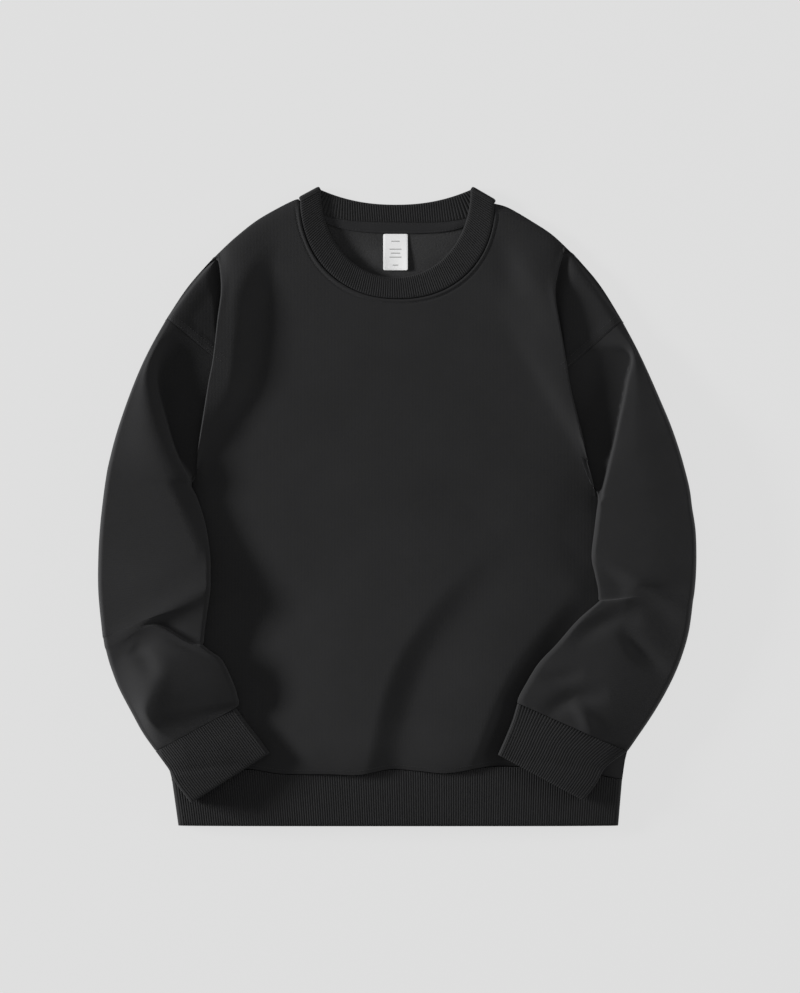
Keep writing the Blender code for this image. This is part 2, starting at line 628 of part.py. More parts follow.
def make_front(material):
    neck, fold, edge, (cap_rays, side_start) = body_lines()
    total = len(fold)
    from_end = np.minimum(np.arange(total), np.arange(total)[::-1])
    spacing = np.linalg.norm(np.diff(fold[:, :2], axis=0), axis=1)
    run_down = np.concatenate([[0], np.cumsum(spacing)])
    from_shoulder = np.minimum(run_down, run_down[-1] - run_down)
    folded = smooth_step((side_start - 1 - from_end) / FOLD_END_RAYS)
    rolled = folded * smooth_step(from_shoulder / FOLD_START)
    steps = np.array(PANEL_STEPS)
    ray_run = fold[:, :2] - neck
    neck += SEAM_GAP * 1.5 * ray_run / np.linalg.norm(ray_run, axis=1, keepdims=True)

    inner = neck[:, None] + steps[None, :, None] * (fold[:, None, :2] - neck[:, None])
    bend = np.clip(1 - from_end / cap_rays, 0, 1) ** 1.5
    for ray in np.flatnonzero(bend):
        line = SHOULDER_RIGHT if ray < total / 2 else SHOULDER_LEFT
        inner[ray] += bend[ray] * shoulder_shift(line, steps)
    plan = inner.reshape(-1, 2)
    height = body_top(plan).reshape(total, -1)
    away = np.linalg.norm(inner - fold[:, None, :2], axis=2)
    lift = (fold[:, 2] - height[:, -1]) * folded
    height += lift[:, None] * np.exp(-((away / RIDGE_REACH) ** 2))
    panel = np.dstack([inner, height])

    # Past the fold line the cloth turns down, then runs out to the armhole or in under the fold.
    tangent = np.gradient(fold[:, :2], axis=0)
    outward = np.column_stack([tangent[:, 1], -tangent[:, 0]])
    outward /= np.linalg.norm(outward, axis=1, keepdims=True)
    end_height = body_top(edge)
    end_height += folded * (np.where(from_end < 1, EDGE_HEIGHT, FLAP_TOP) - end_height)
    run = edge - fold[:, :2]
    drop = panel[:, -1, 2] - end_height
    rows = []
    for out, share, down in ROLL_PROFILE:
        spot = fold[:, :2] + out * outward + share * run
        flat = fold[:, :2] + max(share, out * FLAT_SHARE) * run
        spot = rolled[:, None] * spot + (1 - rolled[:, None]) * flat
        high = end_height + down * drop
        rows.append(np.column_stack([spot, folded * high + (1 - folded) * body_top(flat)]))
    rows = np.array(rows)
    roll = np.array([along(rows[:, ray], ROLL_ROWS) for ray in range(total)])
    bend_cap = np.clip(1 - from_end / 2, 0, 1)
    for ray in np.flatnonzero(bend_cap):
        line = CAP_EDGE_RIGHT if ray < total / 2 else CAP_EDGE_LEFT
        roll[ray, :, :2] += bend_cap[ray] * shoulder_shift(line, np.array(ROLL_ROWS) / ROLL_ROWS[-1])
        if from_end[ray] == 0:
            roll[ray, :, 2] = EDGE_HEIGHT
            panel[ray, :, 2] = EDGE_HEIGHT
            roll[ray, :, :2] = path(line, np.array(ROLL_ROWS) / ROLL_ROWS[-1])

    top = np.concatenate([panel, roll], axis=1).transpose(1, 0, 2)
    normals = panel_normals(top)
    normals[-1, from_end < cap_rays - 1] = (0, 0, 1)
    under = top - CLOTH * normals
    corner = cap_rays - 1
    keep = sorted(set(range(0, total, 2)) | {corner, total - 1 - corner, total - 1})
    at = np.arange(total) / (total - 1)
    top, under = top[::-1], under[::-1, keep]
    wall("front_panel", top, list(at), under, list(at[keep]), False, material)


def panel_normals(top):
    normals = grid_normals(top)
    upward = normals[0, :, 2].mean()
    return normals if upward > 0 else -normals


def make_back(material):
    """The back panel: flat cloth inside the same outer edge, with the higher back neckline."""
    edge = body_lines()[2]
    steps = evenly(6)
    right_top = path(SHOULDER_RIGHT, steps)[:-1]
    left_top = path(SHOULDER_LEFT, steps)[:-1][::-1]
    right_cap = path(CAP_EDGE_RIGHT, evenly(4))[:-1]
    left_cap = path(CAP_EDGE_LEFT, evenly(4))[:-1][::-1]
    seam = back_seam(evenly(24))[::-1]
    seam = seam[1:-1] - (0, SEAM_GAP)
    outline = np.concatenate([right_top, right_cap, edge, left_cap, left_top, seam])
    outline[np.isclose(outline[:, 1], NECK_TOP)] -= (0, SEAM_GAP)
    count = len(outline)
    points = np.concatenate(
        [np.column_stack([outline, np.full(count, z)]) for z in (0.0, CLOTH)]
    )
    ring = list(range(count))
    faces = [ring, [i + count for i in reversed(ring)]]
    for i in ring:
        after = (i + 1) % count
        faces.append([i, i + count, after + count, after])
    turn = np.cross(outline, np.roll(outline, -1, axis=0)).sum()
    if turn > 0:
        faces = [face[::-1] for face in faces]
    add_solid("back_panel", points, faces, material)


# ---------------------------------------------------------------- sleeves, cuffs and hem


def sleeve_ring(row, folds):
    """The outer and inner loop of one sleeve section."""
    mark = dict(zip(SLEEVE_COLUMNS, row))
    start = np.array([mark["outer_x"], mark["outer_y"]])
    end = np.array([mark["inner_x"], mark["inner_y"]])
    width = math.dist(start, end)
    lower = lower_along(start, end)
    tip = LOW_ROLL + TIP_MARGIN
    marks = [
        (mark["roll"], mark["side_z"]),
        (mark["crest_at"] * width, mark["crest_z"]),
        (mark["ridge_at"] * width, mark["ridge_z"]),
        (mark["foot_at"] * width, mark["foot_z"]),
        (width - tip, mark["end_z"]),
    ]
    marks[1] = (max(marks[1][0], marks[0][0] + MARK_GAP), marks[1][1])
    marks[2] = (max(marks[2][0], marks[1][0] + MARK_GAP), marks[2][1])
    marks[3] = (min(marks[3][0], marks[4][0] - MARK_GAP), marks[3][1])
    top = along(marks, TOP_AT)
    plan = start + top[:, :1] / width * (end - start)
    fade = np.sin(math.pi * np.clip(top[:, 0] / width, 0.02, 0.98)) ** 0.4
    top[:, 1] += relief(plan, folds) * fade
    top[:, 1] = np.maximum(top[:, 1], lower(top[:, 0]) + 2 * CLOTH + HOLLOW_LEAST)
    section = tube_section(start, end, top[:, 0], top[:, 1], lower)
    hollow = inset(section, CLOTH, lower)
    return place(section, start, end), place(hollow, start, end)


def make_sleeve(side, table, folds, material):
    """One sleeve, as an upper arm and a forearm that meet in its elbow crease."""
    at = np.linspace(0, len(table) - 1, SLEEVE_RINGS)
    at = np.unique(np.concatenate([at, CREASE_ROWS, [ELBOW_ROW]]))
    rings = [sleeve_ring(row, folds) for row in along(table, at)]
    grids = [np.array([ring[wall_side] for ring in rings]) for wall_side in (0, 1)]
    elbow = int(np.flatnonzero(at == ELBOW_ROW)[0])
    upper = [grid[: elbow + 1].copy() for grid in grids]
    forearm = [grid[elbow:].copy() for grid in grids]
    for grids, row in ((upper, 0), (forearm, ELBOW_ROW)):
        away = (along(table, [row + 0.02]) - along(table, [row]))[0, :2]
        for grid in grids:
            grid[0, :, :2] += away / np.linalg.norm(away) * SEAM_GAP
    for name, (outer, inner) in ((f"sleeve_{side}", upper), (f"forearm_{side}", forearm)):
        columns = list(evenly(outer.shape[1])[:-1])
        if side == "right":
            outer, inner = outer[::-1], inner[::-1]
        wall(name, outer, columns, inner, columns, True, material)


def ribbed(section, count):
    """The section with every other of its upper points raised into a rib."""
    first = len(EDGE_TURNS) + 1
    raised = section.copy()
    raised[first : first + count : 2, 1] += RIB_RISE
    raised[first + 1 : first + count : 2, 1] -= RIB_RISE
    return raised


def cuff_ring(row):
    start, end = np.array(row[:2]), np.array(row[2:])
    width = math.dist(start, end)
    lower = lower_along(start, end)
    count = 2 * CUFF_RIBS + 1
    top_d = np.linspace(CUFF_ROLL, width - CUFF_ROLL, count)
    crown = CUFF_CROWN * np.sin(math.pi * top_d / width)
    top_z = lower(top_d) + CUFF_HEIGHT + crown
    section = tube_section(start, end, top_d, top_z, lower, 12)
    hollow = inset(section, RIB_WALL, lower)
    return place(ribbed(section, count), start, end), place(hollow, start, end)


def cuff_start(sleeve):
    """The cuff's first section, along the sleeve's last one and a little narrower."""
    start, end = np.array(sleeve[-1][:2]), np.array(sleeve[-1][2:4])
    run = (end - start) / math.dist(start, end)
    away = np.array([-run[1], run[0]]) * math.copysign(SEAM_GAP, start[0])
    return (*(start + CUFF_STEP_OUTER * run + away), *(end - CUFF_STEP_INNER * run + away))


def make_cuff(name, table, sleeve, material):
    sections = [cuff_start(sleeve), *table]
    rows = along(sections, np.linspace(0, len(sections) - 1, CUFF_SECTIONS))
    rings = [cuff_ring(row) for row in rows]
    outer = np.array([ring[0] for ring in rings])
    inner = np.array([ring[1] for ring in rings])
    ribbed_tube(name, outer, inner, 2 * CUFF_RIBS + 1, 4, sleeve[0][0] < 0, material)


def ribbed_tube(name, outer, inner, count, stride, mirrored, material):
    """A tube whose inner wall has one column for several of the ribs outside."""
    columns = outer.shape[1]
    first = len(EDGE_TURNS) + 1
    top = range(first, first + count, stride)
    keep = sorted(set(range(first)) | set(top) | set(range(first + count - 1, columns)))
    at = np.arange(columns) / columns
    if mirrored:
        outer, inner = outer[::-1], inner[::-1]
    wall(name, outer, list(at), inner[:, keep], list(at[keep]), True, material)


def hem_ring(share):
    """One section of the hem band: share 0 at the open bottom, 1 at the seam."""
    low, high = hem_sides(HEM_BOTTOM + share * HEM_TALL)
    start, end = np.array([low, 0.0]), np.array([high, 0.0])
    count = 2 * HEM_RIBS + 1
    top_d = np.linspace(HEM_ROLL, high - low - HEM_ROLL, count)
    level = np.full(count, HEM_BOTTOM + share * HEM_TALL)
    top_z = hem_top(np.column_stack([low + top_d, level]))

    def table(d):
        return np.zeros(len(d))

    section = tube_section(start, end, top_d, top_z, table, 33)
    hollow = inset(section, RIB_WALL, table)
    loops = []
    for loop in (ribbed(section, count), hollow):
        x = low + loop[:, 0]
        y = HEM_BOTTOM + share * (seam_y(x) - SEAM_GAP - HEM_BOTTOM)
        loops.append(np.column_stack([x, y, loop[:, 1]]))
    return loops


def make_hem(material):
    rings = [hem_ring(share) for share in HEM_SECTIONS]
    outer = np.array([ring[0] for ring in rings])
    inner = np.array([ring[1] for ring in rings])
    ribbed_tube("hem_band", outer, inner, 2 * HEM_RIBS + 1, 6, True, material)


# ---------------------------------------------------------------- neck


def collar_line(share):
    """At a share of the way round the collar: seam point, free edge point and the face's upward way.

    The way round is front from the right shoulder to the left, the left shoulder's fold, back from left
    to right, and the right shoulder's fold.
    """
    fold_low = COLLAR_THICK / 2
    fold_high = COLLAR_THICK * 1.5 + COLLAR_FOLD_OPEN
    middle, radius = (fold_low + fold_high) / 2, (fold_high - fold_low) / 2
    back_start, back_end = COLLAR_FRONT_SHARE + COLLAR_FOLD_SHARE, 1 - COLLAR_FOLD_SHARE
    if share <= COLLAR_FRONT_SHARE:
        part = share / COLLAR_FRONT_SHARE
        seam, rim = neck_seam([part])[0], neck_rim([part])[0]
        flat = math.sin(math.pi * part) ** 0.5
        on_panel = body_top(seam[None])[0] + COLLAR_PROUD - COLLAR_THICK / 2
        seam_z = fold_high + flat * (on_panel - fold_high)
        rim_z = seam_z - RIM_DROP * flat
        return np.array([*seam, seam_z]), np.array([*rim, rim_z]), np.array([0, 0, 1.0])
    if back_start < share < back_end:
        part = 1 - (share - back_start) / (back_end - back_start)
        seam, rim = back_seam([part])[0], back_rim([part])[0]
        return np.array([*seam, fold_low]), np.array([*rim, fold_low]), np.array([0, 0, -1.0])
    on_left = share <= back_start
    turn = (share - (COLLAR_FRONT_SHARE if on_left else back_end)) / COLLAR_FOLD_SHARE * math.pi
    turn = turn if on_left else math.pi - turn
    end = 1.0 if on_left else 0.0
    seam, rim = neck_seam([end])[0], neck_rim([end])[0]
    out = rim - seam
    side = 1 if on_left else -1
    outward = np.array([out[1], -out[0]]) / np.linalg.norm(out) * side
    shift = np.array([*(outward * math.sin(turn) * radius), 0])
    spot = middle + math.cos(turn) * radius
    up = np.array([*(outward * math.sin(turn)), math.cos(turn)])
    return np.array([*seam, spot]) + shift, np.array([*rim, spot]) + shift, up


def collar_grid(shares, side, ribs):
    """One face of the collar: rows from the seam to the free edge."""
    rows = [[] for _ in COLLAR_ROWS]
    for share, rib in zip(shares, ribs):
        seam, rim, up = collar_line(share)
        for row, (part, crown) in zip(rows, COLLAR_ROWS):
            thick = COLLAR_THICK / 2 + crown + rib
            row.append(seam + part * (rim - seam) + side * up * thick)
    return np.array(rows)


def make_collar(material):
    back_start, back_end = COLLAR_FRONT_SHARE + COLLAR_FOLD_SHARE, 1 - COLLAR_FOLD_SHARE
    fine_front = np.linspace(0, COLLAR_FRONT_SHARE, 2 * COLLAR_FRONT_RIBS + 1)
    coarse_front = np.linspace(0, COLLAR_FRONT_SHARE, COLLAR_FRONT_RIBS // 2 + 1)
    fine_back = np.linspace(back_start, back_end, 2 * COLLAR_BACK_RIBS + 1)
    coarse_back = np.linspace(back_start, back_end, COLLAR_BACK_RIBS // 2 + 1)
    turned = COLLAR_FOLD_SHARE * evenly(5)[1:-1]
    left_fold, right_fold = COLLAR_FRONT_SHARE + turned, back_end + turned

    def comb(count):
        return np.where(np.arange(count) % 2 == 0, -RIB_RISE, RIB_RISE) / 2

    outside = np.concatenate([fine_front, left_fold, coarse_back, right_fold])
    outside_ribs = np.zeros(len(outside))
    outside_ribs[: len(fine_front)] = comb(len(fine_front))
    inside = np.concatenate([coarse_front, left_fold, fine_back, right_fold])
    inside_ribs = np.zeros(len(inside))
    start = len(coarse_front) + len(left_fold)
    inside_ribs[start : start + len(fine_back)] = comb(len(fine_back))
    outer = collar_grid(outside, 1, outside_ribs)
    inner = collar_grid(inside, -1, inside_ribs)
    wall("collar", outer, list(outside), inner, list(inside), True, material)


def make_tape(material):
    """The tape over the back neck seam, on the back panel just below the collar."""
    part = evenly(TAPE_POINTS - 1)
    upper = back_seam(TAPE_START + part * (1 - 2 * TAPE_START)) - (0, SEAM_GAP)
    lower = upper.copy()
    lower[:, 1] -= TAPE_WIDE * np.sin(math.pi * (0.05 + 0.9 * part)) ** 0.3
    grids = []
    for z in (CLOTH + REST_GAP + TAPE_THICK, CLOTH + REST_GAP):
        rows = [np.column_stack([line, np.full(TAPE_POINTS, z)]) for line in (lower, upper)]
        grids.append(np.array(rows))
    wall("neck_tape", grids[0], list(part), grids[1], list(part), False, material)


def make_label(material):
    wide, long, thick = LABEL_SIZE
    top_y = back_seam([0.5])[0, 1] - SEAM_GAP - TAPE_WIDE - LABEL_GAP
    low_z = CLOTH + REST_GAP
    corners = []
    for z in (low_z, low_z + thick):
        for x, y in ((-1, 0), (1, 0), (1, -1), (-1, -1)):
            corners.append((LABEL_MIDDLE + x * wide / 2, top_y + y * long, z))
    faces = [(0, 1, 2, 3), (7, 6, 5, 4)]
    faces += [(i, i + 4, (i + 1) % 4 + 4, (i + 1) % 4) for i in range(4)]
    add_solid("neck_label", corners, faces, material)


def main():
    for thing in list(bpy.data.objects):
        bpy.data.objects.remove(thing)
    fleece = add_material("charcoal_fleece", (0.017, 0.017, 0.018), 0.92)
    rib = add_material("charcoal_rib", (0.015, 0.015, 0.016), 0.9)
    tape = add_material("charcoal_tape", (0.02, 0.02, 0.021), 0.9)
    label = add_material("white_label", (0.85, 0.85, 0.85), 0.6)
    make_front(fleece)
    make_back(fleece)
    make_sleeve("right", SLEEVE_RIGHT, SLEEVE_FOLDS_RIGHT, fleece)
    make_sleeve("left", SLEEVE_LEFT, SLEEVE_FOLDS_LEFT, fleece)
    make_cuff("cuff_right", CUFF_RIGHT, SLEEVE_RIGHT, rib)
    make_cuff("cuff_left", CUFF_LEFT, SLEEVE_LEFT, rib)
    make_hem(rib)
    make_collar(rib)
    make_tape(tape)
    make_label(label)


main()
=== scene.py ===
"""The looks of a crewneck sweatshirt laid flat: brushed fleece, rib collar, cuffs and hem, and its sewing.

Each piece of cloth stands for the plain solids that it hides, in the same place. X runs across the
body, Y from the hem to the neck and Z up from the table. Left and right are the wearer's, so the right
sleeve lies at -X. Tables and named sizes are in millimetres, and meshes are made in metres.
"""

import math

import bpy
import numpy as np
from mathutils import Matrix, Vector
from mathutils.bvhtree import BVHTree


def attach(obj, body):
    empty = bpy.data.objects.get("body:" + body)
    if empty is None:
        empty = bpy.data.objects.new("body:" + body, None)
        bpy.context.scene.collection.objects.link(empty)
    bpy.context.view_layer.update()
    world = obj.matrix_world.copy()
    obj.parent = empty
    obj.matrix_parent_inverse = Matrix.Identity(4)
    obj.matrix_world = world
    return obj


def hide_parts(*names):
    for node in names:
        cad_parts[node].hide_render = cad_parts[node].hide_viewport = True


MM = 0.001

# Cloth and seams.
CLOTH = 1.9  # wall of the fleece
RIB_WALL = 2.8  # hem and cuffs: rib folded double
COLLAR_THICK = 3.4
SEAM_GAP = 0.45  # the dark line between two sewn pieces
LAY_GAP = 1.9  # between cloth that lies on other cloth
LOW_ROLL = 2.4  # radius of a tube's lower edges
LOW_TURN = (22.5, 45, 67.5)  # and the angles of the points round them
SLEEVE_TIP = 0.9  # how far in a sleeve's inner edge rounds over to its top
BAND_WIDE = 10.0  # the raised band along each armhole
BAND_RISE = 0.55
BAND_FURROW = 0.35
BAND_START = 1.2  # over what distance the band rises beside the seam
BAND_END = 1.6  # and falls again at its far side
BAND_STITCHES = (2.2, 8.2)  # how far its two stitch lines run from the seam
BAND_FURROW_WIDE = 0.8
SEAM_ROLL = (0.7, 1.8, 1.5)  # the rolled edge beside a covered seam: its height, distance and width
SEAM_FURROW = (-0.45, 4.6, 0.9)  # and the furrow that its stitches pull in
SEAM_STITCHES = 4.9  # how far those stitches run from the seam
ARMPIT_REACH = 8.0  # the back panel shows this far out where a sleeve crosses over the body's side
ARMPIT_WIDE = 10.0

# The body.
EDGE_HEIGHT = 4.3
LIP_RISE = 2.4
LIP_REACH = 6.0
MIDDLE_HEIGHT = 12.6
MIDDLE_REACH = 60.0
HEM_DIP = 2.2
HEM_DIP_REACH = 7.0
HEM_BLOUSE = 1.8
HEM_BLOUSE_AT = 22.0
FLAP_TOP = 5.9
FLAP_FOOT = 4.6  # the lowest of the cloth beside a side fold
FOLD_START = 6.0
FOLD_END_REACH = 34.0
DRAPE_REACH = 9.0  # over this distance a sleeve that crosses the body's edge falls to the table
HEM_STEP = (10.0, 8.0)  # how far above the hem seam it starts to rise onto the hem, and over what distance
ARMPIT_RISE = 14.0  # and over what distance below the armpit it rises onto the body
RELIEF_EDGE = 25.0  # over this distance from an edge the soft shapes reach their height
SHELF_RIGHT = (250.0, 12.0, 60.0, 54.0)  # how far the chest stays level beside the right side fold: y, mm
HILL_RIGHT = 76.0  # and over what distance it falls away from there
SHELF_LEFT = (250.0, 0.0, 60.0, 0.0)
HILL_LEFT = 215.0
HILL_BLEND = 26.0
HILL_EDGE = 9.0
HILL_FROM_NECK = 62.0
NECK_DIP = 0.8  # the cloth lies lower round the neck
NECK_DIP_REACH = 40.0

# The neck.
NECK_HALF = 107.0
NECK_TOP = 335.0
NECK_DEEP = 107.0
NECK_TILT = 1.5
NECK_POWER = 2.15
RIM_HALF = 82.6
RIM_MIDDLE = -1.8
RIM_TOP = 348.7
RIM_DEEP = 97.0
RIM_POWER = 2.05
BACK_SEAM_LOW = 312.0
BACK_SEAM_POWER = 4.2
BACK_RIM_LOW = 332.3
BACK_RIM_POWER = 2.2
TAPE_WIDE = 12.4
TAPE_THICK = 1.0
TAPE_OVER = 0.7  # it reaches over the back neck seam

# Ribs: how many show on each band, how far they stand up, and mesh columns for each.
COLLAR_FRONT_RIBS = 127
COLLAR_BACK_RIBS = 64
HEM_RIBS = 186
CUFF_RIBS = 38
RIB_RISE = 0.36
RIB_ROUND = 0.7  # the smaller, the rounder their backs and the narrower the furrows
RIB_COLUMNS = 6

# The hem and cuff tubes.
HEM_BOTTOM = -352.0
HEM_TALL = 52.0
HEM_ENDS = ((-241.4, -7.4), (243.6, 4.3))  # x at the open bottom, and how much that changes up to the seam
HEM_HEIGHT = 13.4
HEM_SIDE_HEIGHT = 8.0
HEM_SIDE_REACH = 45.0
HEM_ROLL = 5.0
HEM_ROLL_START = 0.45  # the height at its ends, as a share
HEM_BELLY = 0.8
HEM_BELLY_TALL = 55.0
HEM_END_ROLL = 1.2  # how far the open bottom rounds down
HEM_END_SHARE = 0.06
CUFF_HEIGHT_RIGHT = 15.5
CUFF_HEIGHT_LEFT = 10.2
CUFF_ROLL = 2.2
CUFF_TILT_RIGHT = 9.5  # how much higher the outer side lies
CUFF_STEP = 0.6  # how much narrower than the sleeve it starts, at each side
CUFF_CROWN = 1.2
CUFF_SINK = 1.0
CUFF_END_ROLL = 1.1  # how far the open end rounds down
CUFF_END_SHARE = 0.05

SHOULDER_RIGHT = [
    (-107, 336.5), (-110.8, 338.2), (-129, 329.6), (-155, 314.5), (-179, 295.5), (-197.2, 278.5)
]
SHOULDER_LEFT = [(107, 333.5), (123, 328.5), (152, 311.5), (170, 299.5), (184, 287)]
CAP_EDGE_RIGHT = [(-197.2, 278.5), (-215.4, 259.6), (-233.6, 237.6), (-254, 206.8)]
CAP_EDGE_LEFT = [(184, 287), (210.3, 259.6), (227.3, 237.6), (247.6, 204.6)]

# Side folds of the body, from the shoulder edge down to where the sleeve crosses over: x, y, z.
FOLD_RIGHT = [
    (-197.2, 278.5, 6.0), (-193.6, 258.6, 15.0), (-192.2, 234.5, 22.0), (-196.0, 204.0, 24.5),
    (-200.8, 161.7, 24.5), (-206.0, 134.2, 24.0), (-213.3, 89.3, 21.5), (-219.5, 52.0, 15.0),
    (-221.5, 28.0, 8.0),
]
FOLD_LEFT = [
    (184.0, 287.0, 6.0), (175.0, 255.0, 13.0), (172.5, 229.0, 18.0), (180.2, 183.7, 18.0),
    (184.5, 158.0, 17.5), (189.5, 128.0, 17.0), (200.0, 86.0, 16.0), (212.5, 38.0, 12.5),
    (218.5, 13.0, 8.5),
]
SIDE_RIGHT = [
    (-224.5, 24), (-232, 1), (-245, -37), (-258, -92), (-265, -147),
    (-267, -202), (-261, -246), (-254, -279), (-249, -299),
]
SIDE_LEFT = [
    (221.5, 8), (230, -10), (243, -48), (258, -103), (266, -158),
    (266, -213), (260, -250), (252, -275), (248, -301),
]
INNER_RIGHT = [(-221.5, 28), (-206, -40), (-204, -120), (-212, -200), (-196, -262), (-188, -279)]
INNER_LEFT = [(218.5, 13), (212, -45), (216, -110), (212, -190), (196, -262), (190, -277)]
HEM_SEAM = [
    (-249, -299), (-205, -293.5), (-166, -289.5), (-127, -294.5), (-77, -294.8), (-42, -295.4),
    (-7, -289.4), (24, -291.4), (55, -293.6), (98, -287), (133, -286.8), (179, -291),
    (223, -297), (248, -301),
]

# Sleeves, a row for each section from the armhole seam to the cuff seam, as shares of its width: the
# crest, the ridge where the cloth turns down, and the foot of that slope, each with its height. Last is
# how far the section's middle bows back towards the shoulder.
SLEEVE_COLUMNS = (
    "outer_x", "outer_y", "inner_x", "inner_y", "roll", "side_z",
    "crest_at", "crest_z", "ridge_at", "ridge_z", "foot_at", "foot_z", "end_z", "bow",
)
SLEEVE_RIGHT = [
    (-254.0, 206.8, -192.8, 156.2, 3, 12.0, 0.08, 13.5, 0.35, 10.0, 0.80, 5.6, 4.8, 0),
    (-270.7, 177.0, -195.0, 133.1, 3, 16.0, 0.07, 18.0, 0.14, 15.0, 0.34, 7.0, 4.7, 0),
    (-284.4, 148.5, -199.4, 107.8, 4, 19.0, 0.10, 22.0, 0.21, 18.0, 0.27, 6.2, 4.7, 0),
    (-297.7, 114.4, -207.1, 77.0, 4, 22.0, 0.27, 27.0, 0.455, 22.0, 0.50, 6.0, 4.7, 0),
    (-309.5, 79.2, -214.8, 48.4, 5, 22.5, 0.47, 28.5, 0.69, 24.0, 0.725, 6.5, 4.9, 0),
    (-317.8, 47.3, -223.0, 30.5, 6, 24.0, 0.64, 28.0, 0.92, 22.5, 0.95, 9.0, 6.0, 0),
    (-320.9, 30.8, -226.2, 22.0, 6, 24.0, 0.70, 26.5, 0.955, 19.5, 0.98, 16.0, 12.5, 0),
    (-323.8, 9.9, -219.7, 8.8, 6, 24.0, 0.74, 26.0, 0.96, 19.5, 0.98, 18.5, 17.0, 0),
    (-327.2, -20.9, -210.4, -20.9, 6, 24.5, 0.80, 26.5, 0.965, 22.0, 0.98, 21.0, 19.5, 0),
    (-329.2, -53.9, -205.4, -53.9, 6, 25.5, 0.86, 28.5, 0.97, 27.0, 0.98, 26.5, 25.0, 0),
    (-329.2, -95.0, -204.9, -76.0, 6, 26.5, 0.60, 30.0, 0.97, 30.5, 0.98, 30.0, 28.5, 0),
    (-324.8, -140.8, -205.2, -92.4, 6, 25.5, 0.48, 29.5, 0.95, 32.5, 0.98, 32.0, 30.5, 0),
    (-324.2, -143.5, -208.0, -112.0, 6, 25.3, 0.42, 29.2, 0.72, 28.5, 0.975, 28.5, 27.0, 6),
    (-323.5, -147.0, -210.8, -132.0, 6, 25.0, 0.40, 29.0, 0.62, 25.0, 0.975, 26.5, 25.0, 13),
    (-322.2, -155.0, -212.6, -149.2, 6, 24.8, 0.40, 28.8, 0.58, 23.0, 0.975, 26.0, 24.5, 23),
    (-320.9, -158.4, -213.1, -152.8, 6, 24.5, 0.40, 28.8, 0.58, 29.5, 0.975, 31.5, 30.0, 24),
    (-318.4, -168.0, -203.5, -160.4, 6, 24.0, 0.40, 29.0, 0.60, 31.0, 0.975, 31.0, 29.5, 17),
    (-315.0, -179.0, -192.0, -169.5, 6, 23.0, 0.46, 36.5, 0.62, 35.5, 0.975, 30.5, 29.0, 9),
    (-306.8, -200.2, -180.1, -193.6, 6, 23.0, 0.34, 40.5, 0.48, 38.0, 0.975, 29.5, 28.0, 0),
    (-293.1, -226.6, -174.6, -211.2, 6, 21.0, 0.17, 37.0, 0.40, 34.0, 0.975, 27.0, 25.5, 0),
    (-280.5, -249.7, -174.0, -217.8, 5, 15.0, 0.19, 30.0, 0.40, 28.5, 0.97, 24.5, 23.0, 0),
    (-266.7, -269.5, -176.9, -221.1, 5, 14.0, 0.30, 27.5, 0.60, 26.0, 0.96, 24.5, 23.0, 0),
]
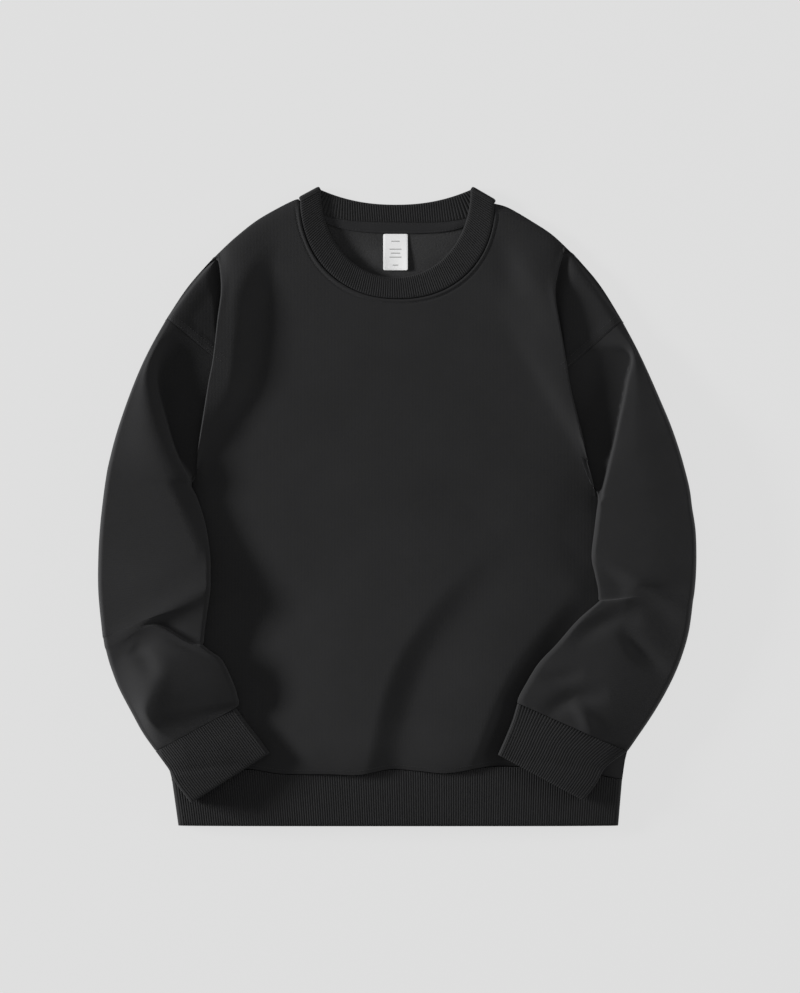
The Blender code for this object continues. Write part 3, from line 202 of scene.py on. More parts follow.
SLEEVE_LEFT = [
    (247.6, 204.6, 184.5, 148.5, 3, 8.0, 0.14, 10.5, 0.45, 9.0, 0.80, 6.2, 5.0, 0),
    (262.9, 176.0, 186.7, 125.4, 3, 11.0, 0.055, 13.5, 0.09, 12.5, 0.13, 7.0, 5.0, 0),
    (276.0, 148.5, 191.1, 99.0, 5, 16.0, 0.18, 18.5, 0.275, 18.0, 0.29, 6.5, 5.0, 0),
    (289.0, 118.8, 197.7, 72.6, 6, 20.0, 0.34, 24.0, 0.49, 24.0, 0.497, 6.5, 5.0, 0),
    (301.3, 89.1, 204.3, 47.3, 6, 24.0, 0.45, 28.0, 0.67, 27.0, 0.676, 6.5, 5.0, 0),
    (311.1, 60.5, 212.0, 27.5, 6, 25.0, 0.50, 29.0, 0.82, 28.5, 0.827, 6.5, 5.0, 0),
    (319.1, 31.5, 219.5, 15.4, 6, 26.0, 0.52, 29.5, 0.94, 28.5, 0.948, 9.0, 6.0, 0),
    (322.6, 15.4, 220.6, 6.0, 6, 26.0, 0.52, 29.5, 0.965, 29.0, 0.98, 27.5, 25.0, 0),
    (324.7, -1.1, 219.0, -5.5, 6, 26.0, 0.50, 29.5, 0.965, 29.0, 0.98, 28.0, 26.0, 0),
    (328.5, -26.4, 216.4, -26.4, 6, 26.0, 0.50, 29.5, 0.965, 28.5, 0.98, 27.5, 25.5, 0),
    (329.5, -53.9, 213.3, -55.0, 6, 25.5, 0.48, 29.0, 0.965, 27.5, 0.98, 26.5, 24.5, 0),
    (329.0, -77.0, 217.0, -75.0, 7, 25.0, 0.55, 29.5, 0.85, 25.0, 0.98, 24.0, 22.5, -4),
    (327.5, -94.0, 220.4, -91.0, 7, 24.5, 0.62, 26.5, 0.80, 22.0, 0.98, 20.0, 19.0, 2),
    (326.3, -102.0, 221.0, -102.2, 7, 24.0, 0.60, 25.5, 0.78, 21.5, 0.98, 19.5, 18.5, 4),
    (325.8, -105.0, 220.6, -105.4, 7, 24.0, 0.60, 26.5, 0.80, 28.0, 0.98, 27.5, 26.0, 4),
    (322.1, -134.2, 197.7, -125.4, 7, 22.5, 0.50, 26.5, 0.96, 27.0, 0.98, 26.0, 24.5, 0),
    (316.0, -158.4, 174.6, -151.8, 7, 21.0, 0.55, 26.0, 0.96, 25.5, 0.98, 24.5, 23.0, 0),
    (306.0, -184.8, 154.8, -172.7, 7, 20.5, 0.55, 26.5, 0.96, 25.0, 0.98, 24.0, 22.5, 0),
    (291.3, -213.4, 140.5, -195.8, 7, 20.0, 0.55, 28.0, 0.96, 26.0, 0.98, 25.0, 23.5, 0),
    (273.3, -242.0, 133.4, -209.0, 6, 19.0, 0.50, 28.0, 0.96, 26.5, 0.98, 25.5, 24.0, 0),
    (253.5, -269.5, 131.5, -215.6, 5, 15.5, 0.45, 25.5, 0.92, 25.5, 0.97, 24.5, 23.0, 0),
]

# Cuffs, a row for each section from just below the seam to the open end: the section's two ends.
CUFF_RIGHT = [
    (-251.5, -288.0, -164.5, -238.5),
    (-241.0, -306.0, -151.5, -255.0),
    (-226.0, -325.0, -140.0, -270.5),
]
CUFF_LEFT = [
    (229.5, -286.5, 126.5, -234.5),
    (219.0, -304.0, 119.5, -252.0),
    (204.5, -323.0, 110.5, -272.5),
]

# Folds, a row for each: three points along it, its width to the left and right of the way it runs, and
# its height (- for a trough).
BODY_FOLDS = [
    (110, -30, -8, -176, -56, -420, 22, 110, 8.5),
    (214, -70, 116, -190, 40, -400, 18, 90, 8.5),
    (-170, -60, -176, -150, -160, -250, 80, 40, -2.5),
    (120, 300, 124, 262, 132, 225, 16, 16, -1.6),
]
SLEEVE_FOLDS_RIGHT = [
    (-330, -152, -262, -122, -200, -84, 12, 8, 1.8),
    (-292, -156, -275, -170, -264, -190, 11, 11, -4.0),
    (-300, -236, -274, -249, -256, -266, 8, 8, 6.0),
]
SLEEVE_FOLDS_LEFT = [
    (215, -56, 268, -88, 340, -128, 9, 7, 3.4),
    (250, -106, 285, -114, 318, -150, 16, 14, -3.4),
    (244, -128, 264, -158, 300, -186, 12, 9, -5.5),
    (188, -152, 224, -128, 268, -119, 12, 10, -4.4),
    (152, -186, 172, -188, 204, -184, 8, 7, -2.6),
    (160, -232, 186, -213, 232, -207, 11, 9, -4.6),
    (190, -212, 204, -230, 216, -256, 8, 7, 3.6),
]

# How finely each piece is divided.
RAYS = {"cap": 30, "hidden": 34, "side": 30, "hem": 150}
CAP_CROWDING = 1.5
NECK_ROWS = 12  # rows in the first millimetres beside the neck seam
NECK_ROWS_REACH = 11.0
PANEL_ROWS = 110
ROLL_ROWS = 42
SLEEVE_RINGS = 230
TURN_POINTS = 7  # in the round turn from a tube's side up to its top
SLEEVE_UNDER, CUFF_UNDER, HEM_UNDER = 24, 60, 120  # points along a tube's underside
PATH_STEPS = 30  # of a smooth curve, for each point that it goes through
PROFILE_STEPS = 900
FOLD_STEPS = 16
EDGE_STEPS = 24
SHOULDER_STEPS = 40
ROLL_STEPS = 60
SEAM_STEPS = 80
ALLOWANCE_STEPS = 120
SEWING_STEPS = 160
SLEEVE_TOP_COLUMNS = 120
CUFF_ROWS = 26
HEM_ROWS = 20


# ---------------------------------------------------------------- curves


def evenly(count):
    return np.linspace(0, 1, count + 1)


def smooth_step(value):
    value = np.clip(value, 0, 1)
    return value * value * (3 - 2 * value)


def bell(away, wide):
    """1 at no distance, and falling away smoothly over a width."""
    return np.exp(-((away / wide) ** 2))


def smooth_between(start, end, slope_in, slope_out, part):
    """What lies at a share of the way between two values, with the slopes there."""
    square, cube = part**2, part**3
    return (
        (2 * cube - 3 * square + 1) * start
        + (cube - 2 * square + part) * slope_in
        + (3 * square - 2 * cube) * end
        + (cube - square) * slope_out
    )


def along(rows, at):
    """The rows of a table read at fractional row numbers, on a smooth curve through them."""
    rows = np.asarray(rows, float)
    last = len(rows) - 1
    at = np.clip(np.atleast_1d(np.asarray(at, float)), 0, last)
    low = np.minimum(at.astype(int), last - 1)
    part = (at - low)[:, None]
    start, end = rows[low], rows[low + 1]
    slope_in = (end - rows[np.maximum(low - 1, 0)]) / 2
    slope_out = (rows[np.minimum(low + 2, last)] - start) / 2
    return smooth_between(start, end, slope_in, slope_out, part)


def path(points, shares):
    """Points at the given shares of the length of a smooth curve through the given ones."""
    fine = along(points, np.linspace(0, len(points) - 1, PATH_STEPS * len(points)))
    steps = np.linalg.norm(np.diff(fine[:, :2], axis=0), axis=1)
    length = np.concatenate([[0], np.cumsum(steps)])
    wanted = np.asarray(shares) * length[-1]
    return np.column_stack([np.interp(wanted, length, column) for column in fine.T])


def profile(points, shares):
    """Like path, for a section whose points run one way across it, and with no height past theirs."""
    across, high = np.asarray(points, float).T
    step = np.diff(across)
    slope = np.diff(high) / step
    before, after = slope[:-1], slope[1:]
    same_way = before * after > 0
    mean = 2 * before * after / np.where(same_way, before + after, 1)
    turn = np.concatenate([slope[:1], np.where(same_way, mean, 0), slope[-1:]])
    fine = np.linspace(across[0], across[-1], PROFILE_STEPS)
    low = np.clip(np.searchsorted(across, fine, side="right") - 1, 0, len(step) - 1)
    part = (fine - across[low]) / step[low]
    slope_in, slope_out = step[low] * turn[low], step[low] * turn[low + 1]
    height = smooth_between(high[low], high[low + 1], slope_in, slope_out, part)
    length = np.concatenate([[0], np.cumsum(np.hypot(np.diff(fine), np.diff(height)))])
    wanted = np.asarray(shares) * length[-1]
    return np.column_stack([np.interp(wanted, length, fine), np.interp(wanted, length, height)])


def left_of(run):
    """Unit vectors to the left of plan vectors."""
    left = np.column_stack([-run[:, 1], run[:, 0]])
    return left / np.linalg.norm(left, axis=1, keepdims=True)


def neck_u(share, half, middle, top, deep, power):
    """The U of a neck edge, from the wearer's right shoulder to the left."""
    turn = math.pi * np.asarray(share)
    x = middle - half * np.sign(np.cos(turn)) * np.abs(np.cos(turn)) ** (2 / power)
    return np.column_stack([x, top - deep * np.sin(turn) ** (2 / power)])


def tilted(line):
    """A neck edge that lies higher at the wearer's right shoulder."""
    return line - np.outer(line[:, 0] / NECK_HALF, (0, NECK_TILT))


NECK_SEAM = tilted(neck_u(evenly(SEAM_STEPS), NECK_HALF, 0, NECK_TOP, NECK_DEEP, NECK_POWER))
NECK_RIM = neck_u(evenly(SEAM_STEPS), RIM_HALF, RIM_MIDDLE, RIM_TOP, RIM_DEEP, RIM_POWER)


def neck_seam(share):
    return path(NECK_SEAM, share)


def neck_rim(share):
    return path(NECK_RIM, share)


def back_curve(share, half, middle, low, top, power):
    """A back neck edge, from the wearer's right to the left."""
    x = np.linspace(-half, half, SEAM_STEPS + 1)
    y = low + (top - low) * np.abs(x / half) ** power
    return path(np.column_stack([x + middle, y]), share)


def back_seam(share):
    return tilted(back_curve(share, NECK_HALF, 0, BACK_SEAM_LOW, NECK_TOP, BACK_SEAM_POWER))


def back_rim(share):
    return back_curve(share, RIM_HALF, RIM_MIDDLE, BACK_RIM_LOW, RIM_TOP, BACK_RIM_POWER)


# ---------------------------------------------------------------- heights


def distance_to(points, line):
    """How far each plan point is from a line, its share of the line there, and its side: 1 left, -1 right."""
    start, end = line[:-1], line[1:]
    step = end - start
    offset = points[:, None] - start
    share = np.clip((offset * step).sum(2) / np.maximum((step**2).sum(1), 1e-9), 0, 1)
    away = np.linalg.norm(offset - share[..., None] * step, axis=2)
    nearest = away.argmin(1)
    rows = np.arange(len(points))
    across = step[nearest, 0] * offset[rows, nearest, 1] - step[nearest, 1] * offset[rows, nearest, 0]
    away = away[rows, nearest]
    side = across / np.maximum(away * np.linalg.norm(step[nearest], axis=1), 1e-9)
    return away, (nearest + share[rows, nearest]) / len(step), np.clip(side, -1, 1)


def relief(points, folds):
    """The height that soft folds add at plan points."""
    added = np.zeros(len(points))
    for x0, y0, x1, y1, x2, y2, left_wide, right_wide, height in folds:
        line = path([(x0, y0), (x1, y1), (x2, y2)], evenly(FOLD_STEPS))
        away, share, side = distance_to(points, line)
        wide = (left_wide + right_wide) / 2 + side * (left_wide - right_wide) / 2
        added += height * np.sin(math.pi * share) * bell(away, wide)
    return added


EDGE_LINES = [
    path(points, evenly(EDGE_STEPS))
    for points in (SHOULDER_RIGHT, SHOULDER_LEFT, SIDE_RIGHT, SIDE_LEFT)
]
SEAM_LINE = path(HEM_SEAM, evenly(SEAM_STEPS))
NECK_LINE = path(NECK_SEAM, evenly(EDGE_STEPS))


def seam_y(x):
    return np.interp(x, SEAM_LINE[:, 0], SEAM_LINE[:, 1])


def body_top(points):
    """Height of the front panel's top over plan points, apart from the side folds."""
    inside = np.min([distance_to(points, line)[0] for line in EDGE_LINES], axis=0)
    lip = LIP_RISE * (1 - np.exp(-inside / LIP_REACH))
    middle = (MIDDLE_HEIGHT - EDGE_HEIGHT - LIP_RISE) * (1 - np.exp(-inside / MIDDLE_REACH))
    above_seam = np.maximum(points[:, 1] - seam_y(points[:, 0]), 0)
    dip = HEM_DIP * np.exp(-above_seam / HEM_DIP_REACH)
    blouse = HEM_BLOUSE * bell(above_seam - HEM_BLOUSE_AT, HEM_BLOUSE_AT)
    rise = smooth_step(inside / RELIEF_EDGE)
    at_neck = NECK_DIP * bell(distance_to(points, NECK_LINE)[0], NECK_DIP_REACH)
    shaped = (blouse - dip - at_neck + relief(points, BODY_FOLDS)) * rise
    return EDGE_HEIGHT + lip + middle + shaped


def hem_sides(y):
    share = (np.asarray(y) - HEM_BOTTOM) / HEM_TALL
    return [bottom + change * share for bottom, change in HEM_ENDS]


def hem_top(points):
    low, high = hem_sides(points[:, 1])
    inside = np.maximum(np.minimum(points[:, 0] - low, high - points[:, 0]), 0)
    rise = 1 - np.exp(-inside / HEM_SIDE_REACH)
    height = HEM_SIDE_HEIGHT + (HEM_HEIGHT - HEM_SIDE_HEIGHT) * rise
    roll = np.clip(1 - inside / HEM_ROLL, 0, 1)
    across = np.clip((points[:, 1] - HEM_BOTTOM) / HEM_BELLY_TALL, 0, 1)
    belly = HEM_BELLY * np.sin(math.pi * across)
    rounded = HEM_ROLL_START + (1 - HEM_ROLL_START) * np.sqrt(1 - roll**2)
    return (height + belly * rise) * rounded


def body_sides(y):
    low, high = hem_sides(y)
    right, left = EDGE_LINES[2][::-1], EDGE_LINES[3][::-1]
    on_hem = np.asarray(y) < right[0, 1]
    return (
        np.where(on_hem, low, np.interp(y, right[:, 1], right[:, 0])),
        np.where(on_hem, high, np.interp(y, left[:, 1], left[:, 0])),
    )


def support(points):
    """Height of what a sleeve or cuff lies on: the body, the hem or the table."""
    low, high = body_sides(points[:, 1])
    inside = np.minimum(points[:, 0] - low, high - points[:, 0])
    step_from, step_long = HEM_STEP
    on_hem = smooth_step((seam_y(points[:, 0]) + step_from - points[:, 1]) / step_long)
    top = (1 - on_hem) * body_top(points) + on_hem * (hem_top(points) + RIB_RISE)
    top = np.where(inside < 0, EDGE_HEIGHT + on_hem, top)
    top = np.maximum(top, EDGE_HEIGHT) + LAY_GAP
    armpit = np.where(points[:, 0] < 0, SIDE_RIGHT[0][1], SIDE_LEFT[0][1])
    below_armpit = smooth_step((armpit + ARMPIT_RISE - points[:, 1]) / ARMPIT_RISE)
    return top * smooth_step(1 + inside / DRAPE_REACH) * below_armpit


# ---------------------------------------------------------------- meshes


def grid_quads(first, rows, columns, closed, flipped):
    """The faces of a grid of points, and each corner's place on it as shares across and down."""
    across = columns if closed else columns - 1
    row, column = np.meshgrid(np.arange(rows - 1), np.arange(across), indexing="ij")
    row, column = row.ravel(), column.ravel()
    corners = [(row, column), (row, column + 1), (row + 1, column + 1), (row + 1, column)]
    if flipped:
        corners = corners[::-1]
    ids = np.column_stack([first + r * columns + c % columns for r, c in corners])
    spread = columns if closed else columns - 1
    places = np.array([np.column_stack([c / spread, r / (rows - 1)]) for r, c in corners])
    return ids, places.transpose(1, 0, 2)


def zip_faces(near, near_at, far, far_at, flipped):
    """Triangles between two lines of points that run side by side, each with its own spacing."""
    faces = []
    i = j = 0
    while i < len(near) - 1 or j < len(far) - 1:
        step_near = j == len(far) - 1 or (
            i < len(near) - 1 and near_at[i + 1] <= far_at[j + 1] + 1e-9
        )
        if step_near:
            face = (near[i], far[j], near[i + 1])
            i += 1
        else:
            face = (near[i], far[j], far[j + 1])
            j += 1
        faces.append(face[::-1] if flipped else face)
    return faces


def run_length(grid, axis):
    """The mean length of a grid's lines in one direction, in metres."""
    steps = np.linalg.norm(np.diff(grid, axis=axis), axis=2)
    return float(steps.sum(axis=axis).mean()) * MM


def plan_places(points, faces):
    """Each corner's place for cloth whose grain runs up and down in plan."""
    return np.asarray(points)[np.concatenate(faces), :2] * MM


def bar_faces(first, rings, sides, flipped=False):
    """The faces round a bar, whose rings of points follow each other, and those of its two ends."""
    ids = first + np.arange(rings * sides).reshape(rings, sides)
    near, far = ids[:-1], ids[1:]
    quads = np.stack([near, np.roll(near, -1, axis=1), np.roll(far, -1, axis=1), far], axis=2)
    faces = [*quads.reshape(-1, 4).tolist(), ids[0, ::-1].tolist(), ids[-1].tolist()]
    return [[face[0], *face[:0:-1]] for face in faces] if flipped else faces


def build_mesh(name, points, faces, places, material, sharp_angle=60):
    mesh = bpy.data.meshes.new(name)
    mesh.from_pydata((np.asarray(points) * MM).tolist(), [], faces)
    mesh.materials.append(material)
    layer = mesh.uv_layers.new(name="cloth")
    layer.data.foreach_set("uv", np.asarray(places, np.float32).ravel())
    mesh.shade_smooth()
    mesh.set_sharp_from_angle(angle=math.radians(sharp_angle))
    mesh.update()
    piece = bpy.data.objects.new(name, mesh)
    bpy.context.scene.collection.objects.link(piece)
    return piece


def shell(name, outer, inner, keep_rows, keep_columns, closed, material, sharp_angle=60, laid=False):
    """A wall of cloth between two grids of rows by columns. The inner one keeps fewer of its lines.

    The grain of a laid piece runs up and down in plan, and that of others along the grid's lines.
    """
    rows, columns = outer.shape[:2]
    thin = inner[np.ix_(keep_rows, keep_columns)]
    first = rows * columns
    outer_ids, outer_places = grid_quads(0, rows, columns, closed, False)
    inner_ids, inner_places = grid_quads(first, len(keep_rows), len(keep_columns), closed, True)
    spread = columns if closed else columns - 1
    column_at = np.arange(columns) / spread
    kept_at = np.array(keep_columns) / spread
    row_at = np.arange(rows) / (rows - 1)
    kept_row_at = np.array(keep_rows) / (rows - 1)
    rims = []
    for row, kept_row, flipped in ((0, 0, False), (rows - 1, len(keep_rows) - 1, True)):
        near = [row * columns + c for c in range(columns)]
        far = [first + kept_row * len(keep_columns) + c for c in range(len(keep_columns))]
        near_at, far_at = list(column_at), list(kept_at)
        if closed:
            near, far = near + near[:1], far + far[:1]
            near_at, far_at = near_at + [1.0], far_at + [1.0]
        rims += zip_faces(near, near_at, far, far_at, flipped)
    if not closed:
        sides = ((0, 0, True), (columns - 1, len(keep_columns) - 1, False))
        for column, kept_column, flipped in sides:
            near = [r * columns + column for r in range(rows)]
            far = [first + r * len(keep_columns) + kept_column for r in range(len(keep_rows))]
            rims += zip_faces(near, list(row_at), far, list(kept_row_at), flipped)
    points = np.concatenate([outer.reshape(-1, 3), thin.reshape(-1, 3)])
    grid_place = np.dstack(np.meshgrid(column_at, row_at)).reshape(-1, 2)
    thin_place = np.dstack(np.meshgrid(kept_at, kept_row_at)).reshape(-1, 2)
    every_place = np.concatenate([grid_place, thin_place])
    rim_places = every_place[np.array(rims).ravel()]
    places = np.concatenate([outer_places.reshape(-1, 2), inner_places.reshape(-1, 2), rim_places])
    places = places * (run_length(outer, 1), run_length(outer, 0))
    faces = outer_ids.tolist() + inner_ids.tolist() + rims
    if laid:
        places = plan_places(points, faces)
    return build_mesh(name, points, faces, places, material, sharp_angle)


def every(count, step):
    """Every so many of a grid's lines, with the last one kept."""
    kept = list(range(0, count, step))
    return kept if kept[-1] == count - 1 else [*kept, count - 1]


def grid_normals(grid):
    across, down = np.gradient(grid, axis=1), np.gradient(grid, axis=0)
    normals = np.cross(across, down)
    return normals / np.maximum(np.linalg.norm(normals, axis=2, keepdims=True), 1e-9)


def soften(grid):
    """Rounds a tube's points off, from loop to loop and round each one, and keeps its two ends."""
    grid[1:-1] = grid[1:-1] / 2 + (grid[:-2] + grid[2:]) / 4
    grid[:] = grid / 2 + (np.roll(grid, 1, axis=1) + np.roll(grid, -1, axis=1)) / 4


# ---------------------------------------------------------------- tubes


def tube_section(start, end, top_d, top_z, lower, under_count):
    """One closed section of a flattened tube, as (d, z) along the plan line from start to end."""
    width = math.dist(start, end)
    base = lower(np.array([0.0, width]))
    tip_low, tip_high = base + LOW_ROLL
    turn = np.radians(np.linspace(0, 90, TURN_POINTS + 2)[1:-1])
    rise = np.sin(turn)
    outer_d = top_d[0] * (1 - np.cos(turn))
    outer_z = tip_low + (top_z[0] - tip_low) * rise
    inner_d = (width - (width - top_d[-1]) * (1 - np.cos(turn)))[::-1]
    inner_z = (tip_high + (top_z[-1] - tip_high) * rise)[::-1]
    low_turn = np.radians(LOW_TURN)
    corner_d, corner_z = LOW_ROLL * (1 - np.cos(low_turn)), LOW_ROLL * (1 - np.sin(low_turn))
    under_d = np.linspace(width - LOW_ROLL, LOW_ROLL, under_count)
    d = [[0], outer_d, top_d, inner_d, [width], width - corner_d, under_d, corner_d[::-1]]
    z = [
        [tip_low], outer_z, top_z, inner_z, [tip_high],
        base[1] + corner_z, lower(under_d), base[0] + corner_z[::-1],
    ]
    return np.column_stack([np.concatenate(d), np.concatenate(z)])


def inset(section, thick, lower):
    """The section moved in by the wall, kept open where it is nearly flat."""
    run = np.roll(section, -1, axis=0) - np.roll(section, 1, axis=0)
    run /= np.maximum(np.linalg.norm(run, axis=1, keepdims=True), 1e-9)
    moved = section + thick * np.column_stack([run[:, 1], -run[:, 0]])
    floor = lower(moved[:, 0]) + thick
    return np.column_stack([moved[:, 0], np.maximum(moved[:, 1], floor)])


def plan_along(start, end, d, bow=0.0):
    """Plan points at distances along a section's line, bowed towards +Y."""
    width = math.dist(start, end)
    step = (np.asarray(end) - start) / width
    back = np.array([-step[1], step[0]]) * math.copysign(1, step[0])
    d = np.asarray(d)[:, None]
    bowed = bow * np.sin(math.pi * np.clip(d / width, 0, 1)) ** 2
    return np.asarray(start) + d * step + bowed * back


def place(section, start, end, bow=0.0):
    """A (d, z) section stood on its plan line."""
    return np.column_stack([plan_along(start, end, section[:, 0], bow), section[:, 1]])


def lower_along(start, end, bow=0.0):
    return lambda d: support(plan_along(start, end, d, bow))


def stack_loops(rings):
    """A tube's rings, each an outer and an inner loop, as two grids of points."""
    return [np.array(loops) for loops in zip(*rings)]


def tube(name, outer, inner, turned, row_step, material):
    """A wall of cloth between two grids of loops, whose rows are turned where they run the other way."""
    if turned:
        outer, inner = outer[::-1], inner[::-1]
    rows, columns = outer.shape[:2]
    keep_columns = list(range(0, columns, 3))
    return shell(name, outer, inner, every(rows, row_step), keep_columns, True, material)


CREST_ROOM = 2.0  # the least distances between a sleeve's marks
FOOT_ROOM = 0.6
RIDGE_ROOM = 0.7
SLEEVE_ROOM = 0.8  # and between its two walls
FOLD_FADE = 0.4  # how soon its soft folds end towards its sides
FOLD_FADE_ENDS = (0.02, 0.98)


def sleeve_marks(row):
    """One sleeve section's ends, and its top as a smooth run of (d, z) between them."""
    mark = dict(zip(SLEEVE_COLUMNS, row))
    start = np.array([mark["outer_x"], mark["outer_y"]])
    end = np.array([mark["inner_x"], mark["inner_y"]])
    width = math.dist(start, end)
    roll_d = mark["roll"]
    crest_d = max(mark["crest_at"] * width, roll_d + CREST_ROOM)
    foot_d = min(mark["foot_at"] * width, width - SLEEVE_TIP - FOOT_ROOM)
    ridge_d = min(max(mark["ridge_at"] * width, crest_d + CREST_ROOM), foot_d - RIDGE_ROOM)
    marks = [
        (roll_d, mark["side_z"]), (crest_d, mark["crest_z"]), (ridge_d, mark["ridge_z"]),
        (foot_d, mark["foot_z"]), (width - SLEEVE_TIP, mark["end_z"]),
    ]
    return start, end, profile(marks, evenly(SLEEVE_TOP_COLUMNS))


def sleeve_ring(row, folds):
    """The outer and inner loop of one sleeve section."""
    start, end, top = sleeve_marks(row)
    width = math.dist(start, end)
    bow = row[-1]
    lower = lower_along(start, end, bow)
    plan = plan_along(start, end, top[:, 0], bow)
    fade = np.sin(math.pi * np.clip(top[:, 0] / width, *FOLD_FADE_ENDS)) ** FOLD_FADE
    top[:, 1] += relief(plan, folds) * fade
    top[:, 1] = np.maximum(top[:, 1], lower(top[:, 0]) + 2 * CLOTH + SLEEVE_ROOM)
    section = tube_section(start, end, top[:, 0], top[:, 1], lower, SLEEVE_UNDER)
    hollow = inset(section, CLOTH, lower)
    return place(section, start, end, bow), place(hollow, start, end, bow)


def make_sleeve(name, table, folds, material):
    rows = along(table, np.linspace(0, len(table) - 1, SLEEVE_RINGS))
    outer, inner = stack_loops([sleeve_ring(row, folds) for row in rows])
    away = (along(table, [0.02]) - along(table, [0]))[0, :2]
    for grid in (outer, inner):
        grid[0, :, :2] += away / np.linalg.norm(away) * SEAM_GAP
    soften(outer)
    outer[:, :, 2] = np.maximum(outer[:, :, 2], 0)
    return tube(name, outer, inner, table[0][0] < 0, 4, material)


def rib_wave(phase):
    """A rib's round back and the narrow furrow beside it, for a phase counted in ribs."""
    return RIB_RISE * (2 * np.abs(np.sin(math.pi * np.asarray(phase))) ** RIB_ROUND - 1)


def rib_loops(start, end, top_d, top_z, lower, under_count):
    """The outer loop of a rib tube's section, with ribs on its top, and the plain inner one."""
    section = tube_section(start, end, top_d, top_z, lower, under_count)
    hollow = inset(section, RIB_WALL, lower)
    first, count = TURN_POINTS + 1, len(top_d)
    section[first : first + count, 1] += rib_wave(np.arange(count) / RIB_COLUMNS)
    return section, hollow


def cuff_start(sleeve):
    """The cuff's first section, along the sleeve's last one and a little narrower."""
    start, end = np.array(sleeve[-1][:2]), np.array(sleeve[-1][2:4])
    run = (end - start) / math.dist(start, end)
    away = np.array([-run[1], run[0]]) * math.copysign(SEAM_GAP, start[0])
    return (*(start + CUFF_STEP * run + away), *(end - CUFF_STEP * run + away))


def cuff_ring(row, share):
    start, end = np.array(row[:2]), np.array(row[2:])
    width = math.dist(start, end)
    lower = lower_along(start, end)
    count = CUFF_RIBS * RIB_COLUMNS + 1
    top_d = np.linspace(CUFF_ROLL, width - CUFF_ROLL, count)
    crown = CUFF_CROWN * np.sin(math.pi * top_d / width)
    end_roll = CUFF_END_ROLL * smooth_step((share - (1 - CUFF_END_SHARE)) / CUFF_END_SHARE)
    on_right = row[0] < 0
    high = CUFF_HEIGHT_RIGHT if on_right else CUFF_HEIGHT_LEFT
    tilt = CUFF_TILT_RIGHT * (0.5 - top_d / width) if on_right else 0.0
    top_z = lower(top_d) + high + crown + tilt - CUFF_SINK - end_roll
    return [place(loop, start, end) for loop in rib_loops(start, end, top_d, top_z, lower, CUFF_UNDER)]


def make_cuff(name, table, sleeve, material):
    sections = [cuff_start(sleeve), *table]
    shares = evenly(CUFF_ROWS - 1)
    rows = along(sections, shares * (len(sections) - 1))
    loops = stack_loops([cuff_ring(row, share) for row, share in zip(rows, shares)])
    return tube(name, *loops, sleeve[0][0] < 0, 3, material)


def hem_ring(share):
    """One section of the hem band: share 0 at the open bottom, 1 at the seam."""
    level_y = HEM_BOTTOM + share * HEM_TALL
    low, high = hem_sides(level_y)
    start, end = np.array([low, 0.0]), np.array([high, 0.0])
    count = HEM_RIBS * RIB_COLUMNS + 1
    top_d = np.linspace(HEM_ROLL, high - low - HEM_ROLL, count)
    top_z = hem_top(np.column_stack([low + top_d, np.full(count, level_y)]))
    top_z -= HEM_END_ROLL * smooth_step((HEM_END_SHARE - share) / HEM_END_SHARE)

    def table(d):
        return np.zeros(len(d))

    loops = []
    for loop in rib_loops(start, end, top_d, top_z, table, HEM_UNDER):
        x = low + loop[:, 0]
        y = HEM_BOTTOM + share * (seam_y(x) - SEAM_GAP - HEM_BOTTOM)
        loops.append(np.column_stack([x, y, loop[:, 1]]))
    return loops


def make_hem(material):
    shares = np.concatenate([[0, 0.015, 0.03, 0.05], np.linspace(0.08, 1, HEM_ROWS - 4)])
    return tube("hem_rib", *stack_loops(map(hem_ring, shares)), False, 4, material)


# ---------------------------------------------------------------- body

ABOVE_HEM = 14.0  # how far above the hem seam the front's inner grid lines end
AT_HEM = 2.0  # points this close to the hem seam are drawn back from it
NECK_SPLIT = (0.41, 0.59)  # the part of the neck seam whose rays run down to the hem
ARMHOLE_HIDDEN = 6  # the rows of a sleeve's table that the hidden part of its armhole follows
NECK_SEAM_GAP = 1.5 * SEAM_GAP
NECK_ROLL_RAYS = 12  # rays over which the neck seam's roll begins at each shoulder
CAP_BEND_RAYS = 8
CAP_BARE_RAYS = 3  # rays beside each shoulder's end that keep their own height
SHOULDER_BEND = 1.5  # how soon the rays stop following the curved shoulder edge
WALL_LINE = 3  # the line of ROLL_LINES where the fold's wall ends
FLAP_SHAPED = 1.2  # over how many lines from there the flap takes on its height
FLAP_BANDED = 1.5  # and its raised band
BACK_EDGE = ((0.0, 0.5), (0.35, 0.1), (1.0, 0.0), (1.6, 0.15), (CLOTH, 0.6))  # height, and how far in


def armhole(sleeve, cap, hidden):
    """The body's armhole edge: beside the sleeve's first section, then down its inner edge."""
    start, corner = np.array(sleeve[0][:2]), np.array(sleeve[0][2:4])
    cap_line = start + cap[:, None] * (corner - start)
    rows = along([row[2:4] for row in sleeve], np.linspace(0, ARMHOLE_HIDDEN, SEAM_STEPS))
    inward = -math.copysign(SEAM_GAP, corner[0])
    return cap_line, path(rows, hidden) + (inward, 0)


def side_lines(fold, inner, side, sleeve, shares):
    """For one side, top to bottom: the fold line with its height, the outer edge, and ray counts."""
    cap, hidden, down = shares
    reach = path(fold, evenly(ROLL_STEPS))
    split = np.argmin(np.linalg.norm(reach[:, :2] - sleeve[0][2:4], axis=1)) / ROLL_STEPS
    upper = path(fold, cap * split)
    middle = path(fold, split + hidden * (1 - split))
    cap_edge, hidden_edge = armhole(sleeve, cap, hidden)
    lower = path(inner, down)
    lower = np.column_stack([lower, body_top(lower)])
    folded = np.concatenate([upper, middle[1:], lower[1:]])
    edge = np.concatenate([cap_edge, hidden_edge[1:], path(side, down)[1:]])
    return folded, edge, (len(upper), len(upper) + len(middle) - 1)


